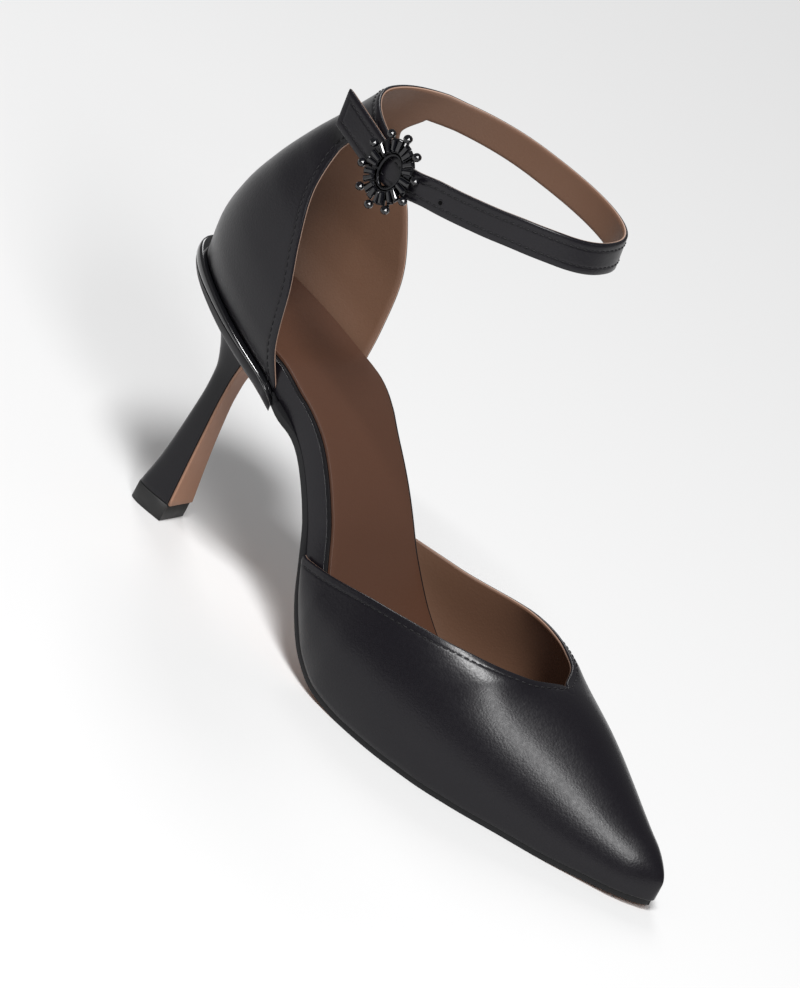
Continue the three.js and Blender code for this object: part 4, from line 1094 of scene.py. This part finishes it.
def seat_section(lift, inset, count):
    row = (RIM_BACK + inset, 0, SEAT_LENGTH - inset, 0, SEAT_WIDTH / 2 - inset, PLATE_MOUTH * SEAT_LENGTH, 0,
           SEAT_ROUNDNESS, SEAT_SWELL)
    back, front = heel_section(row, count)
    for point in back + front:
        point.z = bed_height(point.x, point.y, lift(point.x))
    return back, front


def heel_sections(count):
    table = heel_table()
    columns = [through(table, column) for column in range(1, 10)]
    sections = []
    for t in steps(HEEL_ROWS):
        step = t * (len(table) - 1)
        back, front = heel_section([column(step) for column in columns], count)
        slant = smooth_step(step, 5, 9)
        for point in back + front:
            point.z += slant * (bed_height(point.x, point.y, 0) - bed_height(point.x, 0, 0))
        sections.append((back, front))
    sections.append(seat_section(lambda x: -SEAM, 0.5, count))
    return sections


def loft(sections, cap_rows=5, lid=None):
    """A solid through sections that each have a back and a front with as many points."""
    skin = Skin()
    skin.sheet([back for back, _ in sections])
    skin.sheet([front for _, front in sections], True)
    for (back, front), flipped in ((sections[-1], True), (sections[0], False)):
        rows = [[a.lerp(b, t) for a, b in zip(front, back)] for t in steps(cap_rows)]
        if lid and flipped:
            for row in rows[1:-1]:
                for point in row:
                    point.z = bed_height(point.x, point.y, lid(point.x))
        skin.sheet(rows, flipped)
    for i, flipped in ((0, True), (-1, False)):
        corners = [[front[i] for _, front in sections], [back[i] for back, _ in sections]]
        skin.sheet(corners, flipped)
    return skin


sections = heel_sections(HEEL_COLUMNS)
heel = shown("heel_leather_cover", loft(sections, LID_ROWS, lambda x: -SEAM), [heel_leather])
bevelled(heel, 0.35, 2, 40)
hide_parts("heel")
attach(heel, "root")


def make_plate():
    def level(share, inset):
        return seat_section(lambda x: share * plate_lift(x), inset, HEEL_COLUMNS)

    return loft([level(share, inset) for share, inset in PLATE_EDGE], LID_ROWS, plate_lift)


plate = shown("mirror_seat_plate", make_plate(), [plate_gloss])
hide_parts("seat_plate")
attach(plate, "root")


def make_breast_cover():
    """Leather on the front of the heel, lifted off it and short of the corners."""
    rows = [front[BREAST_MARGIN:-BREAST_MARGIN] for _, front in sections[:-1]]
    face = Skin()
    face.sheet(rows, True)
    normals = face.normals()
    toward_toe = sum(normal.x for normal in normals) > 0
    lift = BREAST_LIFT if toward_toe else -BREAST_LIFT
    for i, normal in enumerate(normals):
        face.points[i] += normal * lift
    if not toward_toe:
        face.faces = [corners[::-1] for corners in face.faces]
    face.walled(BREAST_WALL, [(0.1, 0.2, 0), (0.45, 0.25, 0), (1.0, 0, 0)], 0)
    return face


breast = shown("breast_cover_leather", make_breast_cover(), [sole_leather])
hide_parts("breast_cover")
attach(breast, "root")


TOP_PIECE_EDGES = (0.35, 0.3)
TOP_PIECE_SWELL = 0.02
TOP_PIECE_COLUMNS = 32


def make_top_piece():
    """The walking piece under the heel, with its lower and upper edges broken."""
    def section(z, inset):
        back = TOP_PIECE_FRONT - TOP_PIECE_LENGTH + inset
        front = TOP_PIECE_FRONT - inset
        half = TOP_PIECE_WIDTH / 2 - inset
        row = (back, z, front, z, half, front, z, HEEL_STEM[0][4], TOP_PIECE_SWELL)
        return heel_section(row, TOP_PIECE_COLUMNS)

    top = SEAT_RISE * HEEL_STEM[0][0] - SEAM
    low_edge, high_edge = TOP_PIECE_EDGES
    return loft([section(0, low_edge), section(low_edge, 0), section(top - high_edge, 0.0),
                 section(top, high_edge)])


top_piece = shown("top_piece_rubber", make_top_piece(), [heel_rubber])
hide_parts("top_piece")
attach(top_piece, "root")


# Rows of stitches and set stones, made by geometry nodes

def node_tree(name, inputs):
    tree = bpy.data.node_groups.new(name, "GeometryNodeTree")
    tree.interface.new_socket("Geometry", in_out="INPUT", socket_type="NodeSocketGeometry")
    for label, kind, value in inputs:
        socket = tree.interface.new_socket(label, in_out="INPUT", socket_type=kind)
        if value is not None:
            socket.default_value = value
    tree.interface.new_socket("Geometry", in_out="OUTPUT", socket_type="NodeSocketGeometry")
    start = tree.nodes.new("NodeGroupInput")
    end = tree.nodes.new("NodeGroupOutput")
    return tree, start, end


def named_vector(tree, name):
    node = tree.nodes.new("GeometryNodeInputNamedAttribute")
    node.data_type = "FLOAT_VECTOR"
    node.inputs["Name"].default_value = name
    return node.outputs["Attribute"]


def turned(tree, along, outward):
    """A rotation whose x follows one field and whose z follows another."""
    first = tree.nodes.new("FunctionNodeAlignRotationToVector")
    first.axis = "X"
    tree.links.new(along, first.inputs["Vector"])
    second = tree.nodes.new("FunctionNodeAlignRotationToVector")
    second.axis = "Z"
    second.pivot_axis = "X"
    tree.links.new(first.outputs["Rotation"], second.inputs["Rotation"])
    tree.links.new(outward, second.inputs["Vector"])
    return second.outputs["Rotation"]


def finished(tree, instances, material, end, smooth):
    solid = tree.nodes.new("GeometryNodeRealizeInstances")
    shade = tree.nodes.new("GeometryNodeSetShadeSmooth")
    shade.inputs["Shade Smooth"].default_value = smooth
    paint = tree.nodes.new("GeometryNodeSetMaterial")
    tree.links.new(instances, solid.inputs["Geometry"])
    tree.links.new(solid.outputs["Geometry"], shade.inputs["Geometry"])
    tree.links.new(shade.outputs["Geometry"], paint.inputs["Geometry"])
    tree.links.new(material, paint.inputs["Material"])
    tree.links.new(paint.outputs["Geometry"], end.inputs["Geometry"])


def make_stitch_tree():
    """Stitches at even steps along the edges of a path, lying on the leather."""
    tree, start, end = node_tree("stitch rows", [
        ("Pitch", "NodeSocketFloat", 0.0024), ("Stitch length", "NodeSocketFloat", 0.0019),
        ("Thread width", "NodeSocketFloat", 0.0005), ("Thread", "NodeSocketMaterial", None),
    ])
    links = tree.links
    curve = tree.nodes.new("GeometryNodeMeshToCurve")
    even = tree.nodes.new("GeometryNodeResampleCurve")
    even.mode = "LENGTH"
    bead = tree.nodes.new("GeometryNodeMeshUVSphere")
    bead.inputs["Segments"].default_value = 8
    bead.inputs["Rings"].default_value = 6
    bead.inputs["Radius"].default_value = 0.5
    size = tree.nodes.new("ShaderNodeCombineXYZ")
    links.new(start.outputs["Stitch length"], size.inputs["X"])
    links.new(start.outputs["Thread width"], size.inputs["Y"])
    links.new(start.outputs["Thread width"], size.inputs["Z"])
    tangent = tree.nodes.new("GeometryNodeInputTangent")
    stitch = tree.nodes.new("GeometryNodeInstanceOnPoints")
    links.new(start.outputs["Geometry"], curve.inputs["Mesh"])
    links.new(curve.outputs["Curve"], even.inputs["Curve"])
    links.new(start.outputs["Pitch"], even.inputs["Length"])
    links.new(even.outputs["Curve"], stitch.inputs["Points"])
    links.new(bead.outputs["Mesh"], stitch.inputs["Instance"])
    links.new(size.outputs["Vector"], stitch.inputs["Scale"])
    rotation = turned(tree, tangent.outputs["Tangent"], named_vector(tree, "outward"))
    links.new(rotation, stitch.inputs["Rotation"])
    finished(tree, stitch.outputs["Instances"], start.outputs["Thread"], end, True)
    return tree


def make_setting_tree():
    """A copy of one stone or setting at each point, turned to that point's directions."""
    tree, start, end = node_tree("stones in their settings", [
        ("Stone", "NodeSocketObject", None), ("Size", "NodeSocketFloat", 1.0),
        ("Finish", "NodeSocketMaterial", None),
    ])
    links = tree.links
    source = tree.nodes.new("GeometryNodeObjectInfo")
    copies = tree.nodes.new("GeometryNodeInstanceOnPoints")
    links.new(start.outputs["Stone"], source.inputs["Object"])
    links.new(start.outputs["Geometry"], copies.inputs["Points"])
    links.new(source.outputs["Geometry"], copies.inputs["Instance"])
    links.new(start.outputs["Size"], copies.inputs["Scale"])
    rotation = turned(tree, named_vector(tree, "along"), named_vector(tree, "outward"))
    links.new(rotation, copies.inputs["Rotation"])
    finished(tree, copies.outputs["Instances"], start.outputs["Finish"], end, False)
    return tree


STITCH_ROWS = make_stitch_tree()
SETTINGS = make_setting_tree()


def baked(name, points, edges, vectors, tree, values):
    """Runs a tree on points in the shoe's frame and keeps its result as a plain mesh."""
    mesh = bpy.data.meshes.new(name)
    mesh.from_pydata([ORIGIN + point / 1000 for point in points], edges, [])
    for label, rows in vectors.items():
        layer = mesh.attributes.new(label, "FLOAT_VECTOR", "POINT")
        layer.data.foreach_set("vector", [value for row in rows for value in row])
    base = bpy.data.objects.new(name + "_base", mesh)
    bpy.context.scene.collection.objects.link(base)
    modifier = base.modifiers.new("nodes", "NODES")
    modifier.node_group = tree
    for item in tree.interface.items_tree:
        if item.item_type == "SOCKET" and item.in_out == "INPUT" and item.name in values:
            modifier[item.identifier] = values[item.name]
    bpy.context.view_layer.update()
    evaluated = base.evaluated_get(bpy.context.evaluated_depsgraph_get())
    result = bpy.data.meshes.new_from_object(evaluated)
    result.name = name
    bpy.data.objects.remove(base)
    piece = bpy.data.objects.new(name, result)
    bpy.context.scene.collection.objects.link(piece)
    return piece


def inset_path(edge, toward, inset, surface, lift):
    """A line on the surface, an inset away from an edge, with the surface's direction at each point."""
    path, outward = [], []
    for i, point in enumerate(edge):
        run = (edge[min(i + 1, len(edge) - 1)] - edge[max(i - 1, 0)]).normalized()
        inward = toward[i] - point
        inward -= run * inward.dot(run)
        found = surface.find_nearest(point + inward.normalized() * inset)
        path.append(found[0] + found[1] * lift)
        outward.append(found[1])
    return path, outward


def stitched(name, rows):
    points, edges, outward = [], [], []
    for path, directions in rows:
        first = len(points)
        points += path
        outward += directions
        edges += [(first + i, first + i + 1) for i in range(len(path) - 1)]
    piece = baked(name, points, edges, {"outward": outward}, STITCH_ROWS, {"Thread": thread})
    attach(piece, "root")
    return piece


STITCH_LIFT = 0.02
STITCH_START = 3
BELOW_TOP = 0.86


def stitch_vamp():
    edge, toward = [], []
    for side in (LATERAL, MEDIAL):
        stations = [mix(WING_START[side] + STITCH_START, THROAT_REACH, t) for t in steps(90)]
        if side == MEDIAL:
            stations = stations[::-1][1:]
        for x in stations:
            row = vamp_section(x, side, [BELOW_TOP, 1])
            edge.append(row[1])
            toward.append(row[0])
    return [inset_path(edge, toward, STITCH_INSET, vamp_surface, STITCH_LIFT)]


def stitch_counter():
    low, high = band_edges()
    levels = [level_row(counter_level(t), COUNTER_COLUMNS) for t in steps(COUNTER_ROWS)[2:]]
    rows = []
    lateral = [row[0] for row in levels] + low[:TAB_COLUMNS][::-1]
    inner = [row[4] for row in levels] + high[:TAB_COLUMNS][::-1]
    rows.append(inset_path(lateral, inner, STITCH_INSET, counter_surface, STITCH_LIFT))
    after = TAB_COLUMNS + COUNTER_COLUMNS + 1
    medial = [row[-1] for row in levels] + low[after:-2]
    inner = [row[-5] for row in levels] + high[after:-2]
    rows.append(inset_path(medial, inner, STITCH_INSET, counter_surface, STITCH_LIFT))
    rows.append(inset_path(high[1:-3], low[1:-3], STITCH_INSET, counter_surface, STITCH_LIFT))
    return rows


stitched("vamp_topline_stitches", stitch_vamp())
stitched("counter_and_strap_stitches", stitch_counter())


# The hole's depth is painted shade on a flat disc, not an opening.
# Punched hole of the strap

HOLE_DEGREES = 268.0
HOLE_SHARE = 0.4
HOLE_RADIUS = 0.75
HOLE_RIM = 0.35
HOLE_COLUMNS = 24
# Radius and lift off the strap of the rim's rings, from outside in, in millimetres.
HOLE_RINGS = [
    (HOLE_RADIUS + HOLE_RIM, 0.0), (HOLE_RADIUS + HOLE_RIM * 0.6, 0.1), (HOLE_RADIUS, 0.08),
    (HOLE_RADIUS * 0.92, 0.03),
]


def make_hole():
    """A round hole's pressed rim laid on the strap, closed by a flat near-black disc of painted shade that stands
    in for the hole's depth.
    """
    middle, outward, _, _ = counter_surface.find_nearest(on_strap(HOLE_DEGREES, HOLE_SHARE))
    across = (on_strap(HOLE_DEGREES, 1) - on_strap(HOLE_DEGREES, 0)).normalized()
    along = across.cross(outward).normalized()
    skin = Skin()
    rings = []
    for radius, lift in HOLE_RINGS:
        ring = []
        for k in range(HOLE_COLUMNS + 1):
            turn = 2 * math.pi * (k % HOLE_COLUMNS) / HOLE_COLUMNS
            flat = middle + (along * math.cos(turn) + across * math.sin(turn)) * radius
            found = counter_surface.find_nearest(flat)
            ring.append(found[0] + found[1] * lift)
        rings.append(ring)
    skin.sheet(rings, True)
    skin.face([skin.vertex(point) for point in rings[-1][:-1]], 1)
    return skin


hole = shown("punched_hole", make_hole(), [black_leather, painted_hole_shade])
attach(hole, "root")


# Jewelled buckle

BUCKLE_DEGREES = 287.5
RING_OPENING = (7.0, 10.2)
RING_BAND = 1.1
RING_DEPTH = 1.5
RING_LIFT = 0.3
OVAL_COLUMNS = 96
BASE_REACH = 3.0
BASE_TUCK = 0.2
BASE_DEPTH = 0.8
BASE_CORNER = 5
BEAD_REACH = 5.9
BEAD_RADIUS = 1.45
BEAD_COUNT = 10
STONE_PAIRS = 10
PAIR_SPREAD = 0.42
STONE_LENGTH = 4.0
STONE_WIDTH = 1.75
STONE_HEIGHT = 1.4
STONE_CORNER = 0.22
STONE_SWAY = 0.22
STONE_GAP = 0.35
CUP_DEPTH = 0.3
CUP_MARGIN = (0.18, 0.16)
BEAD_LIFT = 0.35
STEM_HALF = 0.42
STEM_LENGTH = 3.2
BAR_HALF = 0.65


def buckle_place():
    def middle(turn):
        return (on_strap(turn, 0) + on_strap(turn, 1)) / 2

    along = (middle(BUCKLE_DEGREES - 1) - middle(BUCKLE_DEGREES + 1)).normalized()
    up = (on_strap(BUCKLE_DEGREES, 1) - on_strap(BUCKLE_DEGREES, 0)).normalized()
    out = along.cross(up).normalized()
    up = out.cross(along)
    turn = Matrix((along, up, out)).transposed().to_4x4()
    return Matrix.Translation(middle(BUCKLE_DEGREES)) @ turn


BUCKLE = buckle_place()
RING_HALF = (RING_OPENING[0] / 2 + RING_BAND, RING_OPENING[1] / 2 + RING_BAND)


def round_ring(turn, reach, z=0.0):
    return Vector(((RING_HALF[0] + reach) * math.cos(turn), (RING_HALF[1] + reach) * math.sin(turn), z))


def swept_oval(profile):
    """An oval swept with a closed profile of reach and height."""
    rows = []
    for i in range(OVAL_COLUMNS + 1):
        turn = 2 * math.pi * (i % OVAL_COLUMNS) / OVAL_COLUMNS
        rows.append([round_ring(turn, reach, z) for reach, z in profile + profile[:1]])
    skin = Skin()
    skin.sheet(rows)
    return skin


def in_place(skin):
    skin.points = [BUCKLE @ point for point in skin.points]
    return skin


def rounded_profile(reach_low, reach_high, floor, top, count=16, power=2.6):
    """A soft-cornered closed profile between two reaches and two heights."""
    middle = ((reach_low + reach_high) / 2, (floor + top) / 2)
    half = ((reach_high - reach_low) / 2, (top - floor) / 2)
    profile = []
    for i in range(count):
        turn = 2 * math.pi * i / count
        c, s = math.cos(turn), math.sin(turn)
        profile.append((
            middle[0] + half[0] * math.copysign(abs(c) ** (2 / power), c),
            middle[1] + half[1] * math.copysign(abs(s) ** (2 / power), s),
        ))
    return profile


def template(name, skin):
    return shown(name, skin, [brooch_metal], smooth=False)


def ringed(levels):
    """A closed solid through outlines with as many corners."""
    skin = Skin()
    skin.sheet([ring + ring[:1] for ring in levels])
    skin.face([skin.vertex(point) for point in reversed(levels[0])])
    skin.face([skin.vertex(point) for point in levels[-1]])
    return skin


def long_stone():
    """A step-cut bar whose inner end is narrower, with its length along x and its table up."""
    def outline(scale, z):
        a, b, c = STONE_LENGTH / 2, STONE_WIDTH / 2, STONE_CORNER
        narrow = b * 0.82
        corners = [(-a, -narrow + c), (-a + c, -narrow), (a - c, -b), (a, -b + c), (a, b - c), (a - c, b),
                   (-a + c, narrow), (-a, narrow - c)]
        shrink = b * (1 - scale)
        return [Vector((x - math.copysign(shrink, x), y * scale, z)) for x, y in corners]

    return ringed([outline(0.8, 0), outline(1, 0.45 * STONE_HEIGHT), outline(0.84, 0.78 * STONE_HEIGHT),
                   outline(0.52, STONE_HEIGHT)])


def long_cup():
    """The metal cup under a long stone, with its rim in one."""
    a, b = STONE_LENGTH / 2 + CUP_MARGIN[0], STONE_WIDTH / 2 + CUP_MARGIN[1]
    narrow = b * 0.85

    def outline(scale, z):
        corners = ((-a, -narrow), (a, -b), (a, b), (-a, narrow))
        return [Vector((x * scale, y * scale, z)) for x, y in corners]

    return ringed([outline(0.8, -0.35), outline(1.0, 0.1), outline(1.0, 0.42 * STONE_HEIGHT)])


def round_stone():
    mesh = bmesh.new()
    bmesh.ops.create_icosphere(mesh, subdivisions=2, radius=BEAD_RADIUS)
    skin = Skin()
    for face in mesh.faces:
        skin.face([skin.vertex(vert.co) for vert in face.verts])
    mesh.free()
    return skin


def round_cup():
    """A small cup on a stem that points back to the ring."""
    def outline(radius, z):
        turns = [k * math.pi / 8 for k in range(16)]
        return [Vector((radius * math.cos(turn), radius * math.sin(turn), z)) for turn in turns]

    return ringed([outline(0.55, -1.5), outline(1.0, -1.15), outline(1.12, -0.55), outline(0.95, -0.45)])


def stem():
    """A thin rod from the base's edge out to a round stone."""
    def outline(x):
        turns = [k * math.pi / 4 for k in range(8)]
        return [Vector((x, STEM_HALF * math.cos(turn), STEM_HALF * math.sin(turn))) for turn in turns]

    return ringed([outline(-STEM_LENGTH), outline(-STEM_LENGTH / 2), outline(0.3)])


def set_round(name, shape, places, finish, sway=0.0):
    """Copies of a shape at places round the ring: turn, reach and height of each, with a small sway."""
    draw = random.Random(7)
    pattern = template(name + "_pattern", shape)
    for vertex in pattern.data.vertices:
        vertex.co = vertex.co - ORIGIN
    points, along, outward = [], [], []
    for turn, reach, z in places:
        here = round_ring(turn, reach)
        away = (round_ring(turn, reach + 1) - here).normalized()
        points.append(BUCKLE @ (here + Vector((0, 0, z))))
        along.append(BUCKLE.to_3x3() @ away)
        lean = Vector((draw.uniform(-sway, sway), draw.uniform(-sway, sway), 1))
        outward.append(BUCKLE.to_3x3() @ lean)
    piece = baked(name, points, [], {"along": along, "outward": outward}, SETTINGS,
                  {"Stone": pattern, "Finish": finish})
    bpy.data.objects.remove(pattern)
    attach(piece, "root")
    return piece


bead_turns = [2 * math.pi * (i + 0.5) / BEAD_COUNT for i in range(BEAD_COUNT)]
stone_turns = [
    2 * math.pi * (pair + half * PAIR_SPREAD) / STONE_PAIRS for pair in range(STONE_PAIRS) for half in (-0.5, 0.5)
]
ring_profile = rounded_profile(-RING_BAND, 0, RING_LIFT, RING_LIFT + RING_DEPTH)
ring = shown("brooch_ring", in_place(swept_oval(ring_profile)), [brooch_metal])
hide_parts("buckle")
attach(ring, "root")
base_profile = rounded_profile(-BASE_TUCK, BASE_REACH, RING_LIFT, RING_LIFT + BASE_DEPTH, 12, BASE_CORNER)
base = shown("brooch_base", in_place(swept_oval(base_profile)), [brooch_metal])
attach(base, "root")
stone_floor = RING_LIFT + BASE_DEPTH + CUP_DEPTH
long_places = [(turn, STONE_GAP + STONE_LENGTH / 2, stone_floor) for turn in stone_turns]
bead_places = [(turn, BEAD_REACH, RING_LIFT + BEAD_RADIUS + BEAD_LIFT) for turn in bead_turns]
stem_places = [(turn, BEAD_REACH, RING_LIFT + BASE_DEPTH / 2) for turn in bead_turns]
set_round("brooch_long_cups", long_cup(), long_places, brooch_metal)
long_stones = set_round("brooch_long_stones", long_stone(), long_places, brooch_stone, STONE_SWAY)
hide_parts(*[f"stone_pair_{i + 1}" for i in range(STONE_PAIRS)])
set_round("brooch_stems", stem(), stem_places, brooch_metal)
set_round("brooch_round_cups", round_cup(), bead_places, brooch_metal)
set_round("brooch_round_stones", round_stone(), bead_places, brooch_stone)


def make_bar():
    """The bar and posts that hold the ring on the strap."""
    post = STRAP_WIDTH / 2 + SEAM + 0.7
    low = -UPPER_WALL - SEAM - 0.7
    skin = Skin()
    path = [Vector((0, -post, 0.9)), Vector((0, -post, low + 0.4)), Vector((0, -post + 0.4, low)),
            Vector((0, post - 0.4, low)), Vector((0, post, low + 0.4)), Vector((0, post, 0.9))]
    rows = []
    for i, point in enumerate(path):
        run = (path[min(i + 1, len(path) - 1)] - path[max(i - 1, 0)]).normalized()
        side = Vector((1, 0, 0))
        up = side.cross(run)
        turns = [k * math.pi / 5 for k in range(11)]
        rows.append([point + (side * math.cos(turn) + up * math.sin(turn)) * BAR_HALF for turn in turns])
    skin.sheet(rows)
    skin.face([skin.vertex(point) for point in rows[0][:-1]][::-1])
    skin.face([skin.vertex(point) for point in rows[-1][:-1]])
    return in_place(skin)


bar = shown("brooch_bar", make_bar(), [brooch_metal])
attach(bar, "root")


# Floor, light and camera

def make_floor():
    mesh = bpy.data.meshes.new("floor")
    half = 6.0
    corners = [(-half, -half, 0), (half, -half, 0), (half, half, 0), (-half, half, 0)]
    mesh.from_pydata(corners, [], [(0, 1, 2, 3)])
    mesh.materials.append(tree_of("pale floor", (0.71, 0.71, 0.71), 0.8)[0])
    floor = bpy.data.objects.new("floor", mesh)
    bpy.context.scene.collection.objects.link(floor)


def make_softbox(name, place, aim, width, height, power):
    light = bpy.data.lights.new(name, "AREA")
    light.shape = "RECTANGLE"
    light.size = width
    light.size_y = height
    light.energy = power
    lamp = bpy.data.objects.new(name, light)
    lamp.location = place
    lamp.rotation_mode = "QUATERNION"
    lamp.rotation_quaternion = (Vector(place) - Vector(aim)).to_track_quat("Z", "Y")
    bpy.context.scene.collection.objects.link(lamp)


def make_world():
    world = bpy.data.worlds.new("studio")
    world.use_nodes = True
    sky = world.node_tree.nodes["Background"]
    sky.inputs["Color"].default_value = (0.86, 0.86, 0.87, 1)
    sky.inputs["Strength"].default_value = 0.21
    bpy.context.scene.world = world
    bpy.context.scene.view_settings.view_transform = "Standard"


VIEW_AZIMUTH = math.radians(24.8)
VIEW_ELEVATION = math.radians(22.8)
VIEW_ROLL = math.radians(29.1)
VIEW_DISTANCE = 2.6


def make_camera():
    a, e, r = VIEW_AZIMUTH, VIEW_ELEVATION, VIEW_ROLL
    back = Vector((math.sin(a) * math.cos(e), -math.cos(a) * math.cos(e), math.sin(e)))
    level = Vector((math.cos(a), math.sin(a), 0))
    upright = back.cross(level)
    right = level * math.cos(r) + upright * math.sin(r)
    up = upright * math.cos(r) - level * math.sin(r)
    aim = ORIGIN + Vector((0.120, 0, 0.060)) - right * 0.0157 + up * 0.0089
    data = bpy.data.cameras.new("camera")
    data.lens = 310
    data.clip_start = 0.1
    data.clip_end = 50
    camera = bpy.data.objects.new("camera", data)
    camera.matrix_world = Matrix.Translation(aim + back * VIEW_DISTANCE) @ Matrix(
        (right, up, back)
    ).transposed().to_4x4()
    bpy.context.scene.collection.objects.link(camera)
    bpy.context.scene.camera = camera


make_floor()
make_world()
make_softbox("top", (0.25, -1.1, 2.5), (0, 0, 0.05), 0.75, 0.6, 68)
make_softbox("side", (1.25, -1.35, 1.5), (0, 0, 0.05), 0.45, 0.8, 22)
make_softbox("back", (-1.5, 1.5, 1.8), (0, 0, 0.06), 0.8, 1.2, 17)
make_camera()
